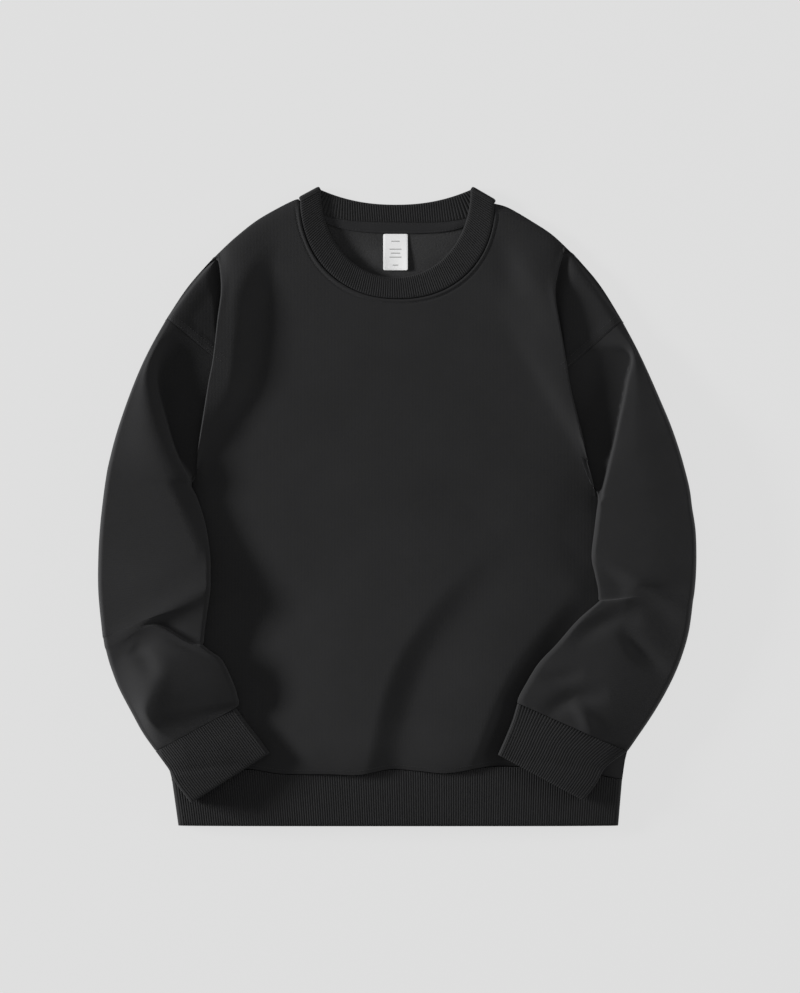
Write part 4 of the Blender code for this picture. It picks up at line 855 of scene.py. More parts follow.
def body_lines():
    """The rays' ends round the whole front: neck seam, fold line and outer edge."""
    cap, hidden, down = (evenly(RAYS[name]) for name in ("cap", "hidden", "side"))
    shares = cap**CAP_CROWDING, hidden, down
    right = side_lines(FOLD_RIGHT, INNER_RIGHT, SIDE_RIGHT, SLEEVE_RIGHT, shares)
    left = side_lines(FOLD_LEFT, INNER_LEFT, SIDE_LEFT, SLEEVE_LEFT, shares)
    hem = evenly(RAYS["hem"])
    corner_right, corner_left = right[0][-1, :2], left[0][-1, :2]
    above = corner_right + hem[:, None] * (corner_left - corner_right)
    bottom = path(HEM_SEAM, hem)
    above[:, 1] = seam_y(above[:, 0]) + ABOVE_HEM
    above = np.column_stack([above, body_top(above)])[1:-1]
    fold = np.concatenate([right[0], above, left[0][::-1]])
    edge = np.concatenate([right[1], bottom[1:-1], left[1][::-1]])
    edge[:, 1] += np.where(np.abs(edge[:, 1] - seam_y(edge[:, 0])) < AT_HEM, SEAM_GAP, 0)
    side_rays = len(right[0]) - 1
    total = len(fold) - 1
    ends = [0, side_rays, total - side_rays, total]
    neck = np.interp(np.arange(total + 1), ends, [0, *NECK_SPLIT, 1])
    return neck_seam(neck), fold, edge, right[2]


def shoulder_shift(line, steps):
    """How far a curved shoulder edge lies from the straight run between its ends."""
    curved = path(line, steps)
    straight = curved[0] + steps[:, None] * (curved[-1] - curved[0])
    return curved - straight


def cap_height(points, sleeve):
    """The height of the cloth at plan points beside an armhole seam, the same on its two sides."""
    _, _, top = sleeve_marks(sleeve[0])
    cap_edge = CAP_EDGE_RIGHT if sleeve[0][0] < 0 else CAP_EDGE_LEFT
    reach = distance_to(points, path(cap_edge, evenly(SHOULDER_STEPS)))[0]
    return np.interp(reach, [0, *top[:, 0]], [EDGE_HEIGHT, *top[:, 1]])


def seam_band(away):
    """The cloth over an armhole's turned-in edges, held down by a stitch line along each side."""
    band = smooth_step(away / BAND_START) - smooth_step((away - BAND_WIDE) / BAND_END)
    furrows = sum(bell(away - at, BAND_FURROW_WIDE) for at in BAND_STITCHES)
    return BAND_RISE * band - BAND_FURROW * furrows


def seam_roll(away):
    """The rolled edge beside a covered seam, and the furrow its stitches pull in."""
    return sum(high * bell(away - at, wide) for high, at, wide in (SEAM_ROLL, SEAM_FURROW))


def from_ends(count):
    """How many places each one is from the nearer end of a row of them."""
    return np.minimum(np.arange(count), np.arange(count)[::-1])


def cap_rays_of(total, cap_rays, bare=0):
    """The rays over each sleeve's cap, less the bare ones beside its shoulder, with the sleeve."""
    return (slice(bare, cap_rays), SLEEVE_RIGHT), (slice(total - cap_rays, total - bare), SLEEVE_LEFT)


# Lines from a side fold to the armhole: how far out they lie where the cloth rolls over, as a share of
# the way there, the share where nothing folds, and the shares of the fold's height and the flap's.
ROLL_LINES = [
    (0.0, 0.0, 0.0, 1.0, 0.0),
    (1.2, 0.0, 0.1, 0.86, 0.0),
    (1.5, 0.0, 0.2, 0.45, 0.0),
    (1.0, 0.02, 0.32, 0.05, 0.0),
    (0.0, 0.24, 0.5, 0.0, 0.4),
    (0.0, 0.6, 0.75, 0.0, 0.92),
    (0.0, 1.0, 1.0, 0.0, 1.0),
]


def fold_hill(fold, lift, run_down, away):
    """What the side folds add to the chest beside them: a shelf, then an even slope down."""
    on_right = (fold[:, 0] < 0)[:, None]
    shelves = []
    for high_y, high_shelf, low_y, low_shelf in (SHELF_RIGHT, SHELF_LEFT):
        shelves.append(np.interp(fold[:, 1], [low_y, high_y], [low_shelf, high_shelf]))
    shelf = np.where(on_right, shelves[0][:, None], shelves[1][:, None])
    slope = np.where(on_right, HILL_RIGHT, HILL_LEFT)
    near = bell(run_down[:, None] - run_down, HILL_BLEND) * np.gradient(run_down)
    soft = ((near / near.sum(1, keepdims=True)) @ lift)[:, None]
    shape = 1 - smooth_step((away - shelf) / slope)
    return shape * (soft + (lift[:, None] - soft) * bell(away, HILL_EDGE))


def front_grid():
    """The front panel's top surface: rays from the neck seam, over the side folds, to the outer edge."""
    neck, fold, edge, (cap_rays, side_start) = body_lines()
    total = len(fold)
    from_end = from_ends(total)
    spacing = np.linalg.norm(np.diff(fold[:, :2], axis=0), axis=1)
    run_down = np.concatenate([[0], np.cumsum(spacing)])
    from_shoulder = np.minimum(run_down, run_down[-1] - run_down)
    fold_end = from_shoulder[side_start - 1]
    folded = smooth_step((fold_end - from_shoulder) / FOLD_END_REACH)
    rolled = folded * smooth_step(from_shoulder / FOLD_START)
    ray_run = fold[:, :2] - neck
    ray_long = np.linalg.norm(ray_run, axis=1, keepdims=True)
    neck += NECK_SEAM_GAP * ray_run / ray_long
    near = np.linspace(0, NECK_ROWS_REACH, NECK_ROWS + 1)[:-1] / ray_long
    far = NECK_ROWS_REACH / ray_long + (1 - NECK_ROWS_REACH / ray_long) * evenly(PANEL_ROWS)
    steps = np.concatenate([near, far], axis=1)

    inner = neck[:, None] + steps[..., None] * (fold[:, None, :2] - neck[:, None])
    bend = np.clip(1 - from_end / cap_rays, 0, 1) ** SHOULDER_BEND
    for ray in np.flatnonzero(bend):
        line = SHOULDER_RIGHT if ray < total / 2 else SHOULDER_LEFT
        inner[ray] += bend[ray] * shoulder_shift(line, steps[ray])
    height = body_top(inner.reshape(-1, 2)).reshape(total, -1)
    away = np.linalg.norm(inner - fold[:, None, :2], axis=2)
    from_neck = np.linalg.norm(inner - neck[:, None], axis=2)
    lift = (fold[:, 2] - height[:, -1]) * folded
    height += fold_hill(fold, lift, run_down, away) * (1 - bell(from_neck, HILL_FROM_NECK))
    height += seam_roll(from_neck) * smooth_step(from_end / NECK_ROLL_RAYS)[:, None]
    panel = np.dstack([inner, height])

    outward = -left_of(np.gradient(fold[:, :2], axis=0))
    flap_end = np.full(total, FLAP_TOP)
    for rays, sleeve in cap_rays_of(total, cap_rays):
        flap_end[rays] = cap_height(edge[rays], sleeve)
    end_height = body_top(edge)
    end_height += folded * (flap_end - end_height)
    foot = np.minimum(FLAP_FOOT, end_height)
    run = edge - fold[:, :2]
    rows = []
    for out, share, flat_share, wall, flap in ROLL_LINES:
        spot = fold[:, :2] + out * outward + share * run
        flat = fold[:, :2] + flat_share * run
        spot = rolled[:, None] * spot + (1 - rolled[:, None]) * flat
        high = foot + wall * (panel[:, -1, 2] - foot) + flap * (end_height - foot)
        rows.append(np.column_stack([spot, folded * high + (1 - folded) * body_top(flat)]))
    rows = np.array(rows)
    last_line = len(ROLL_LINES) - 1
    roll_at = np.linspace(0, last_line, ROLL_ROWS + 1)[1:]
    roll = np.array([along(rows[:, ray], roll_at) for ray in range(total)])
    bend_cap = np.clip(1 - from_end / CAP_BEND_RAYS, 0, 1)
    for ray in np.flatnonzero(bend_cap):
        line = CAP_EDGE_RIGHT if ray < total / 2 else CAP_EDGE_LEFT
        roll[ray, :, :2] += bend_cap[ray] * shoulder_shift(line, roll_at / last_line)
        if from_end[ray] == 0:
            roll[ray, :, 2] = EDGE_HEIGHT
            panel[ray, :, 2] = EDGE_HEIGHT
            roll[ray, :, :2] = path(line, roll_at / last_line)
    past_wall = roll_at - WALL_LINE
    for rays, sleeve in cap_rays_of(total, cap_rays, CAP_BARE_RAYS):
        flap = roll[rays]
        spots = flap[..., :2].reshape(-1, 2)
        away = distance_to(spots, cap_seam(sleeve))[0].reshape(flap.shape[:2])
        shaped = cap_height(spots, sleeve).reshape(flap.shape[:2])
        flap[..., 2] += (shaped - flap[..., 2]) * smooth_step(past_wall / FLAP_SHAPED)
        flap[..., 2] += seam_band(away) * smooth_step(past_wall / FLAP_BANDED)
    return np.concatenate([panel, roll], axis=1).transpose(1, 0, 2), cap_rays


def make_front(material):
    top, cap_rays = front_grid()
    normals = grid_normals(top)
    if normals[0, :, 2].mean() < 0:
        normals = -normals
    total = top.shape[1]
    normals[-1, from_ends(total) < cap_rays - 1] = (0, 0, 1)
    under = top - CLOTH * normals
    top, under = top[::-1], under[::-1]
    keep_rows, keep_rays = every(top.shape[0], 3), every(total, 3)
    return shell("front_fleece", top, under, keep_rows, keep_rays, False, material, laid=True)


def make_back(material, outline):
    """The back panel, flat on the table: its outline filled, with a rounded edge."""
    count = len(outline)
    turn = (outline * np.roll(outline[:, ::-1], -1, axis=0) * (1, -1)).sum()
    outline = outline if turn > 0 else outline[::-1]
    inward = left_of(np.roll(outline, -1, axis=0) - np.roll(outline, 1, axis=0))
    rings = [
        np.column_stack([outline + pulled * inward, np.full(count, z)]) for z, pulled in BACK_EDGE
    ]
    points = np.concatenate(rings)
    faces = bar_faces(0, len(rings), count)
    return build_mesh("back_fleece", points, faces, plan_places(points, faces), material, 80)


def back_outline():
    edge = body_lines()[2]
    right_top, left_top, right_cap, left_cap = (
        path(line, evenly(SHOULDER_STEPS))[:-1]
        for line in (SHOULDER_RIGHT, SHOULDER_LEFT, CAP_EDGE_RIGHT, CAP_EDGE_LEFT)
    )
    seam = back_seam(evenly(SEAM_STEPS))[::-1][1:-1] - (0, SEAM_GAP)
    outline = np.concatenate([right_top, right_cap, edge, left_cap[::-1], left_top[::-1], seam])
    for armpit in (SIDE_RIGHT[0], SIDE_LEFT[0]):
        near = bell(np.linalg.norm(outline - armpit, axis=1), ARMPIT_WIDE)
        outline[:, 0] += math.copysign(ARMPIT_REACH, armpit[0]) * near
    return outline


# ---------------------------------------------------------------- neck

FRONT_SHARE = 0.58  # of the way round the collar; the back has the rest, less a fold at each shoulder
FOLD_SHARE = 0.02
SHOULDER_COLUMNS = 14
COLLAR_FALL = 3.8  # the front collar leans in and down to its free edge
COLLAR_FACE_AT = (0.012, 0.035, 0.07, 0.13, 0.22, 0.34, 0.47, 0.6, 0.72, 0.82, 0.89, 0.94, 0.972, 0.992)
COLLAR_TUCK = 0.1  # share of the collar's depth that dips into its seam
COLLAR_RIM = 0.1  # and that rounds over its free edge
COLLAR_TUCK_THIN = 0.75  # how much thinner it is in its seam
COLLAR_ROOM = 1.8  # between its front and back layers at the shoulders
COLLAR_LIFT = 0.5  # how far its front stands out of the body's cloth
TAPE_SPAN = (0.12, 0.88)  # the share of the back neck seam that the tape covers
TAPE_TURN = 0.9  # its ends narrow over a part of a sine, that starts at this angle
TAPE_START = 0.157
TAPE_BLUNT = 0.3
TAPE_ROUND = 0.8
TAPE_EDGE = 0.12  # the least of its thickness at its edges, as a squared share
TAPE_FURROW = (0.3, 0.6)  # depth and width
TAPE_STITCH_IN = 1.9
TAPE_COLUMNS = 140
TAPE_ROWS = (0, 0.03, 0.09, 0.16, 0.24, 0.4, 0.6, 0.76, 0.84, 0.91, 0.97, 1)
TAPE_BOTTOM = CLOTH + 0.3
LABEL_WIDE = 27.0
LABEL_LONG = 40.0
LABEL_THICK = 0.55
LABEL_MIDDLE = -2.0
LABEL_CORNER = 1.5
LABEL_CURL = 1.3  # its lower edge stands a little off the cloth
LABEL_CURL_MIDDLE = 0.45  # and its middle by this share of what its corners do
LABEL_BELOW = 0.4  # the gap between it and the tape
LABEL_COLUMNS = 25
LABEL_BEVEL = (0.18, 0.03)  # how far its edges round down, and the share of its half width they take


def collar_line(share):
    """At a share of the way round: seam point, free edge point, and the way up from the collar's face.

    The way round is the front from the right shoulder to the left, the left shoulder's fold, the back
    from left to right, and the right shoulder's fold.
    """
    fold_low, fold_high = COLLAR_THICK / 2, COLLAR_THICK * 1.5 + COLLAR_ROOM
    middle, radius = (fold_low + fold_high) / 2, (fold_high - fold_low) / 2
    back_start, back_end = FRONT_SHARE + FOLD_SHARE, 1 - FOLD_SHARE
    if share <= FRONT_SHARE:
        part = share / FRONT_SHARE
        seam, rim = neck_seam([part])[0], neck_rim([part])[0]
        flat = math.sin(math.pi * part) ** 0.5
        seam_z = fold_high + flat * (body_top(seam[None])[0] + COLLAR_LIFT - COLLAR_THICK / 2 - fold_high)
        rim_z = seam_z - COLLAR_FALL * flat
        return np.array([*seam, seam_z]), np.array([*rim, rim_z]), np.array([0, 0, 1.0])
    if back_start < share < back_end:
        part = 1 - (share - back_start) / (back_end - back_start)
        rim = back_rim([part])[0]
        across = (rim[0] - RIM_MIDDLE) / RIM_HALF
        outer = abs(across) ** 5
        spread = (1 - outer) * RIM_HALF + outer * NECK_HALF
        seam_x = np.clip(across * spread, -NECK_HALF, NECK_HALF)
        rise = abs(seam_x / NECK_HALF) ** BACK_SEAM_POWER
        seam = np.array([seam_x, BACK_SEAM_LOW + (NECK_TOP - BACK_SEAM_LOW) * rise])
        seam[1] -= NECK_TILT * seam_x / NECK_HALF
        return np.array([*seam, fold_low]), np.array([*rim, fold_low]), np.array([0, 0, -1.0])
    on_left = share <= back_start
    turn = (share - (FRONT_SHARE if on_left else back_end)) / FOLD_SHARE * math.pi
    turn = turn if on_left else math.pi - turn
    end = 1.0 if on_left else 0.0
    seam, rim = neck_seam([end])[0], neck_rim([end])[0]
    out = rim - seam
    side = 1 if on_left else -1
    outward = np.array([-out[1], out[0]]) / np.linalg.norm(out) * -side
    shift = np.array([*(outward * math.sin(turn) * radius), 0])
    spot = middle + math.cos(turn) * radius
    up = np.array([*(outward * math.sin(turn)), math.cos(turn)])
    return np.array([*seam, spot]) + shift, np.array([*rim, spot]) + shift, up


def collar_thickness(part):
    """Half the collar's thickness from its seam to its free edge, round at both."""
    tuck = np.clip(1 - part / COLLAR_TUCK, 0, 1)
    rim = np.clip((part - (1 - COLLAR_RIM)) / COLLAR_RIM, 0, 1)
    return COLLAR_THICK / 2 * np.sqrt(1 - rim**2) * (1 - COLLAR_TUCK_THIN * tuck**2)


def make_collar(material):
    """One closed ring of rib, doubled over at its free edge, with ribs on both faces."""
    turned = np.linspace(0, 1, SHOULDER_COLUMNS + 1)[1:-1] * FOLD_SHARE
    front = np.linspace(0, FRONT_SHARE, COLLAR_FRONT_RIBS * RIB_COLUMNS + 1)
    back = np.linspace(FRONT_SHARE + FOLD_SHARE, 1 - FOLD_SHARE, COLLAR_BACK_RIBS * RIB_COLUMNS + 1)
    shares = np.concatenate([front, FRONT_SHARE + turned, back, 1 - FOLD_SHARE + turned])
    rib_phase = np.concatenate([
        np.arange(len(front)) / RIB_COLUMNS,
        turned / FOLD_SHARE * 2,
        np.arange(len(back)) / RIB_COLUMNS,
        turned / FOLD_SHARE * 2,
    ])
    face = np.array(COLLAR_FACE_AT)
    half = collar_thickness(face)
    ribbed = np.sqrt(np.clip(np.minimum(face / COLLAR_TUCK, (1 - face) / COLLAR_RIM * 1.5), 0, 1))
    rings = []
    for share, phase in zip(shares, rib_phase):
        seam, rim, up = collar_line(share)
        raised = half + rib_wave(phase) * ribbed
        spine = seam + face[:, None] * (rim - seam)
        upper, lower = spine + raised[:, None] * up, spine - raised[:, None] * up
        rings.append(np.concatenate([[seam], upper, [rim], lower[::-1]]))
    grid = np.array(rings)
    count, around = grid.shape[:2]
    closed = np.concatenate([grid, grid[:1]])
    ids, places = grid_quads(0, count + 1, around, True, True)
    ids %= count * around
    places = places.reshape(-1, 2) * (run_length(closed, 1), run_length(closed, 0))
    return build_mesh("collar_rib", grid.reshape(-1, 3), ids.tolist(), places, material)


def tape_lines(count):
    """The tape's upper and lower edges from the wearer's right to the left."""
    share = np.linspace(*TAPE_SPAN, count)
    upper = back_seam(share) + (0, TAPE_OVER)
    lower = upper.copy()
    part = (share - TAPE_SPAN[0]) / (TAPE_SPAN[1] - TAPE_SPAN[0])
    lower[:, 1] -= TAPE_WIDE * np.sin(math.pi * part * TAPE_TURN + TAPE_START) ** TAPE_BLUNT
    return upper, lower


def make_tape(material):
    upper, lower = tape_lines(TAPE_COLUMNS)
    part = np.array(TAPE_ROWS)
    edge = np.minimum(part, 1 - part) * TAPE_WIDE
    rise = TAPE_THICK * np.sqrt(np.clip(1 - (1 - edge / TAPE_ROUND).clip(0) ** 2, TAPE_EDGE, 1))
    furrow_deep, furrow_wide = TAPE_FURROW
    rise -= furrow_deep * bell(edge - TAPE_STITCH_IN, furrow_wide)
    lines = upper + part[::-1, None, None] * (lower - upper)
    lows = np.dstack([lines, np.full(lines.shape[:2], TAPE_BOTTOM)])
    tops = lows.copy()
    tops[..., 2] += rise[::-1, None]
    keep_rows, keep_columns = every(len(part), 2), every(TAPE_COLUMNS, 4)
    return shell("back_neck_tape", tops, lows, keep_rows, keep_columns, False, material)


def label_top():
    return back_seam([0.5])[0, 1] + TAPE_OVER - TAPE_WIDE - LABEL_BELOW


def label_surface(across, down):
    """A point of the label's face: across -1..1 from the wearer's right, down 0..1 from its top."""
    x = np.asarray(across) * LABEL_WIDE / 2
    y = np.asarray(down) * LABEL_LONG
    near_end = np.minimum(y, LABEL_LONG - y)
    short = np.clip(LABEL_CORNER - near_end, 0, LABEL_CORNER)
    x = x * (1 - 2 * (LABEL_CORNER - np.sqrt(LABEL_CORNER**2 - short**2)) / LABEL_WIDE)
    curl = LABEL_CURL_MIDDLE + (1 - LABEL_CURL_MIDDLE) * np.abs(across) ** 2
    lift = LABEL_CURL * smooth_step(np.asarray(down)) * curl
    return np.stack([LABEL_MIDDLE + x, label_top() - y, TAPE_BOTTOM + LABEL_THICK + lift], axis=-1)


def make_label(material):
    ends = np.linspace(0, 0.065, 6)
    down = np.concatenate([ends, np.linspace(0.1, 0.9, 16), 1 - ends[::-1]])
    across, along_down = np.meshgrid(np.linspace(-1, 1, LABEL_COLUMNS), down)
    face = label_surface(across, along_down)
    bevel = np.minimum(1 - np.abs(across), np.minimum(along_down, 1 - along_down) * 1.6)
    bevel_deep, bevel_wide = LABEL_BEVEL
    face[..., 2] -= bevel_deep * np.clip(1 - bevel / bevel_wide, 0, 1)
    low = label_surface(across, along_down) - (0, 0, LABEL_THICK)
    keep_rows, keep_columns = every(len(down), 3), every(LABEL_COLUMNS, 3)
    return shell("neck_label_cloth", face[::-1], low[::-1], keep_rows, keep_columns, False, material, 40)


# ---------------------------------------------------------------- sewing

STITCH_PITCH = 3.0
STITCH_LONG = 2.1
THREAD_RADIUS = 0.24
THREAD_FLAT = 0.8
STITCH_SIDES = 6
STITCH_RINGS = ((-0.5, 0.35), (-0.36, 0.9), (0, 1.0), (0.36, 0.9), (0.5, 0.35))


def surface_of(piece):
    """A function that gives the height of a piece's top over plan points."""
    corners = [vertex.co for vertex in piece.data.vertices]
    tree = BVHTree.FromPolygons(corners, [face.vertices for face in piece.data.polygons])

    def height(points):
        hits = [tree.ray_cast((x * MM, y * MM, 0.1), (0, 0, -1))[0] for x, y in points]
        return [math.nan if hit is None else hit.z / MM for hit in hits]

    return height


def stitches(name, lines, height, material):
    """Rows of stitches along plan lines, each one a short rounded thread lying in the cloth."""
    points, faces = [], []
    turn = np.linspace(0, 2 * math.pi, STITCH_SIDES, endpoint=False)
    for line in lines:
        length = np.linalg.norm(np.diff(line, axis=0), axis=1).sum()
        count = int(length / STITCH_PITCH)
        middle = (np.arange(count) + 0.5) / count
        reach = STITCH_LONG / 2 / length
        starts, ends = path(line, middle - reach), path(line, middle + reach)
        for start, end, low, high in zip(starts, ends, height(starts), height(ends)):
            if math.isnan(low) or math.isnan(high) or abs(high - low) > STITCH_LONG:
                continue
            head, tail = np.array([*start, low]), np.array([*end, high])
            run = (tail - head) / np.linalg.norm(tail - head)
            side = np.cross(run, (0, 0, 1))
            side /= np.linalg.norm(side)
            top = np.cross(side, run)
            faces += bar_faces(len(points), len(STITCH_RINGS), STITCH_SIDES, True)
            for share, wide in STITCH_RINGS:
                spot = (head + tail) / 2 + share * (tail - head)
                for angle in turn:
                    spread = math.cos(angle) * side + THREAD_FLAT * math.sin(angle) * top
                    points.append(spot + THREAD_RADIUS * wide * spread)
    return build_mesh(name, points, faces, plan_places(points, faces), material, 80)


def beside(line, distance):
    """A line moved sideways, to the left of the way that it runs."""
    fine = path(line, evenly(SEWING_STEPS))
    return fine + distance * left_of(np.gradient(fine, axis=0))


def cap_seam(sleeve):
    return np.array([sleeve[0][:2], sleeve[0][2:4]])


ALLOWANCE_THICK = 0.3
FLAT_TURN = [(-3.0, 2.33), (-1.0, 2.33), (1.0, 2.33), (3.0, 2.33)]  # across the seam, and height
HEM_TURN = [(-4.0, 3.25), (-0.7, 3.25), (0.8, 2.3), (4.0, 2.3)]


def seam_allowance(name, line, section, material):
    """The turned-in edges under a seam: a thin strip with an (across, height) section."""
    fine = path(line, evenly(ALLOWANCE_STEPS))
    left = left_of(np.gradient(fine, axis=0))
    tops = np.array([
        np.column_stack([fine + across * left, np.full(len(fine), height)])
        for across, height in section[::-1]
    ])
    lows = tops - (0, 0, ALLOWANCE_THICK)
    return shell(name, tops, lows, every(len(tops), 1), every(len(fine), 4), False, material)


# ---------------------------------------------------------------- finishes


def new_group(name, inputs, outputs):
    """An empty node group with its sockets: inputs as (name, default), outputs by name."""
    group = bpy.data.node_groups.new(name, "ShaderNodeTree")
    for socket, default in inputs:
        given = group.interface.new_socket(socket, in_out="INPUT", socket_type="NodeSocketFloat")
        given.default_value = default
    for socket in outputs:
        group.interface.new_socket(socket, in_out="OUTPUT", socket_type="NodeSocketFloat")
    return group, group.nodes.new("NodeGroupInput"), group.nodes.new("NodeGroupOutput")


def add_node(tree, kind, **settings):
    """A node whose settings are given by name, be they inputs or its own."""
    node = tree.nodes.new(kind)
    for key, value in settings.items():
        if key in node.inputs:
            node.inputs[key].default_value = value
        else:
            setattr(node, key, value)
    return node


def calculate(tree, operation, first, second):
    """A Math node on two sockets or numbers."""
    node = tree.nodes.new("ShaderNodeMath")
    node.operation = operation
    for index, value in enumerate((first, second)):
        if isinstance(value, (int, float)):
            node.inputs[index].default_value = value
        else:
            tree.links.new(value, node.inputs[index])
    return node.outputs[0]


def object_place(tree):
    return tree.nodes.new("ShaderNodeTexCoord").outputs["Object"]


def make_mottle_group():
    """Soft uneven patches, as napped cotton has: 0 dark to 1 light, over large and small areas."""
    scales = [("Patch Scale", 14), ("Speck Scale", 900)]
    group, given, result = new_group("cloth_mottle", scales, ["Patches", "Specks"])
    place_at = object_place(group)
    for scale, output, detail, rough in (
        ("Patch Scale", "Patches", 4, 0.6), ("Speck Scale", "Specks", 3, 0.7)
    ):
        noise = add_node(group, "ShaderNodeTexNoise", Detail=detail, Roughness=rough)
        group.links.new(place_at, noise.inputs["Vector"])
        group.links.new(given.outputs[scale], noise.inputs["Scale"])
        group.links.new(noise.outputs["Fac"], result.inputs[output])
    return group


LOOP_LEAN = 2.6  # how far a knitted row leans over into the next
ROW_SHARE = 0.3  # how much the rows show between the columns of loops


def make_knit_group():
    """Fine knitted loops along the cloth's own grain, with fuzz over them, as a height."""
    group, given, result = new_group(
        "fine_knit", [("Loops Per Metre", 700), ("Fuzz Scale", 1400), ("Fuzz", 0.5)], ["Height"]
    )
    grain = group.nodes.new("ShaderNodeUVMap")
    grain.uv_map = "cloth"
    split = group.nodes.new("ShaderNodeSeparateXYZ")
    group.links.new(grain.outputs["UV"], split.inputs["Vector"])

    def times(first, second):
        return calculate(group, "MULTIPLY", first, second)

    def plus(first, second):
        return calculate(group, "ADD", first, second)

    turns = times(given.outputs["Loops Per Metre"], 2 * math.pi)
    column = times(split.outputs["X"], turns)
    leaned = calculate(group, "ABSOLUTE", calculate(group, "SINE", times(column, 0.5), 0), 0)
    row = plus(times(split.outputs["Y"], turns), times(leaned, LOOP_LEAN))
    loops = times(leaned, plus(times(calculate(group, "SINE", row, 0), ROW_SHARE), 1 - ROW_SHARE))
    fuzz = add_node(group, "ShaderNodeTexNoise", Detail=5, Roughness=0.7)
    group.links.new(object_place(group), fuzz.inputs["Vector"])
    group.links.new(given.outputs["Fuzz Scale"], fuzz.inputs["Scale"])
    blurred = times(fuzz.outputs["Fac"], given.outputs["Fuzz"])
    kept = calculate(group, "SUBTRACT", 1, given.outputs["Fuzz"])
    group.links.new(plus(blurred, times(loops, kept)), result.inputs["Height"])
    return group


def place_group(tree, group, **values):
    node = tree.nodes.new("ShaderNodeGroup")
    node.node_tree = group
    for key, value in values.items():
        node.inputs[key.replace("_", " ")].default_value = value
    return node


FINE_MOTTLE = (14.0, 900.0, 0.35)  # patch scale, speck scale, and the specks' share
COARSE_MOTTLE = (40.0, 500.0, 0.6)


def cloth_material(groups, name, dark, light, finish, knit, mottling=FINE_MOTTLE):
    """A cloth's finish: its colour varies from dark to light, and its knit and fuzz stand up a little."""
    patch_scale, speck_scale, speck_share = mottling
    material = bpy.data.materials.new(name)
    material.use_nodes = True
    tree = material.node_tree
    shader = tree.nodes["Principled BSDF"]
    shader.inputs["Sheen Weight"].default_value = finish["sheen"]
    shader.inputs["Sheen Roughness"].default_value = finish["sheen_rough"]
    shader.inputs["Sheen Tint"].default_value = (*finish["sheen_tint"], 1)
    shader.inputs["Specular IOR Level"].default_value = finish["specular"]
    mottle = place_group(tree, groups["mottle"], Patch_Scale=patch_scale, Speck_Scale=speck_scale)
    specks = calculate(tree, "MULTIPLY", mottle.outputs["Specks"], speck_share)
    patches = calculate(tree, "MULTIPLY", mottle.outputs["Patches"], 1 - speck_share)
    both = calculate(tree, "ADD", specks, patches)
    spread = add_node(tree, "ShaderNodeMapRange", **{"From Min": 0.3, "From Max": 0.7})
    tree.links.new(both, spread.inputs["Value"])
    colour = add_node(tree, "ShaderNodeMix", data_type="RGBA")
    colour.inputs[6].default_value = (*dark, 1)
    colour.inputs[7].default_value = (*light, 1)
    tree.links.new(spread.outputs["Result"], colour.inputs["Factor"])
    tree.links.new(colour.outputs[2], shader.inputs["Base Color"])
    roughest = {"To Min": finish["rough"] - 0.05, "To Max": finish["rough"] + 0.04}
    rough = add_node(tree, "ShaderNodeMapRange", **roughest)
    tree.links.new(mottle.outputs["Patches"], rough.inputs["Value"])
    tree.links.new(rough.outputs["Result"], shader.inputs["Roughness"])
    grain = dict(Loops_Per_Metre=knit["loops"], Fuzz_Scale=knit["fuzz_scale"], Fuzz=knit["fuzz"])
    loops = place_group(tree, groups["knit"], **grain)
    bump = add_node(tree, "ShaderNodeBump", Strength=knit["strength"], Distance=knit["depth"] * MM)
    tree.links.new(loops.outputs["Height"], bump.inputs["Height"])
    tree.links.new(bump.outputs["Normal"], shader.inputs["Normal"])
    return material


def make_materials():
    groups = {"mottle": make_mottle_group(), "knit": make_knit_group()}
    soft = dict(sheen=0.05, sheen_rough=0.5, sheen_tint=(0.8, 0.8, 0.82), specular=0.25, rough=0.9)
    matte = dict(soft, sheen=0.03, specular=0.2)
    smooth = dict(soft, sheen=0.0, specular=0.4, rough=0.55)
    jersey = dict(loops=640, fuzz_scale=1100, fuzz=0.55, strength=0.5, depth=0.35)
    brushed = dict(loops=500, fuzz_scale=420, fuzz=0.95, strength=0.6, depth=1.1)
    woven = dict(loops=1500, fuzz_scale=2500, fuzz=0.2, strength=0.25, depth=0.12)
    inside = (soft, brushed, COARSE_MOTTLE)
    looks = {
        "fleece": ("charcoal_fleece", (0.0138, 0.0138, 0.0144), (0.0198, 0.0198, 0.0205), soft, jersey),
        "inside": ("charcoal_brushed_inside", (0.0155, 0.0155, 0.016), (0.027, 0.027, 0.0276), *inside),
        "rib": ("charcoal_rib", (0.0145, 0.0145, 0.015), (0.0205, 0.0205, 0.0212), matte, jersey),
        "tape": ("charcoal_tape", (0.017, 0.017, 0.018), (0.023, 0.023, 0.024), matte, jersey),
        "label": ("white_woven_label", (0.93, 0.93, 0.93), (0.97, 0.97, 0.97), smooth, woven),
        "marks": ("grey_woven_marks", (0.3, 0.3, 0.3), (0.36, 0.36, 0.36), smooth, woven),
        "thread": ("charcoal_thread", (0.014, 0.014, 0.015), (0.02, 0.02, 0.021), smooth, woven),
    }
    return {part: cloth_material(groups, *look) for part, look in looks.items()}


# ---------------------------------------------------------------- table, light and camera

LENS = 100.0
CAMERA_AT = (0.0030, 0.01045, 3.044)
TABLE_SIDE = 6.0
TABLE_COLOUR = 0.06
TABLE_GLOW = 0.69  # the table is lit from below
PALE = 0.745
ROOM_LIGHT = 0.3
LIGHTS = (  # name, place, width, length and power; each one points at the garment's middle
    ("left_softbox", (-6.0, 1.17, 1.4), 2.0, 0.73, 640),
    ("right_softbox", (2.6, 0.1, 0.8), 1.6, 0.6, 19),
    ("overhead_softbox", (0, 0.3, 3.6), 2.6, 2.6, 16),
)


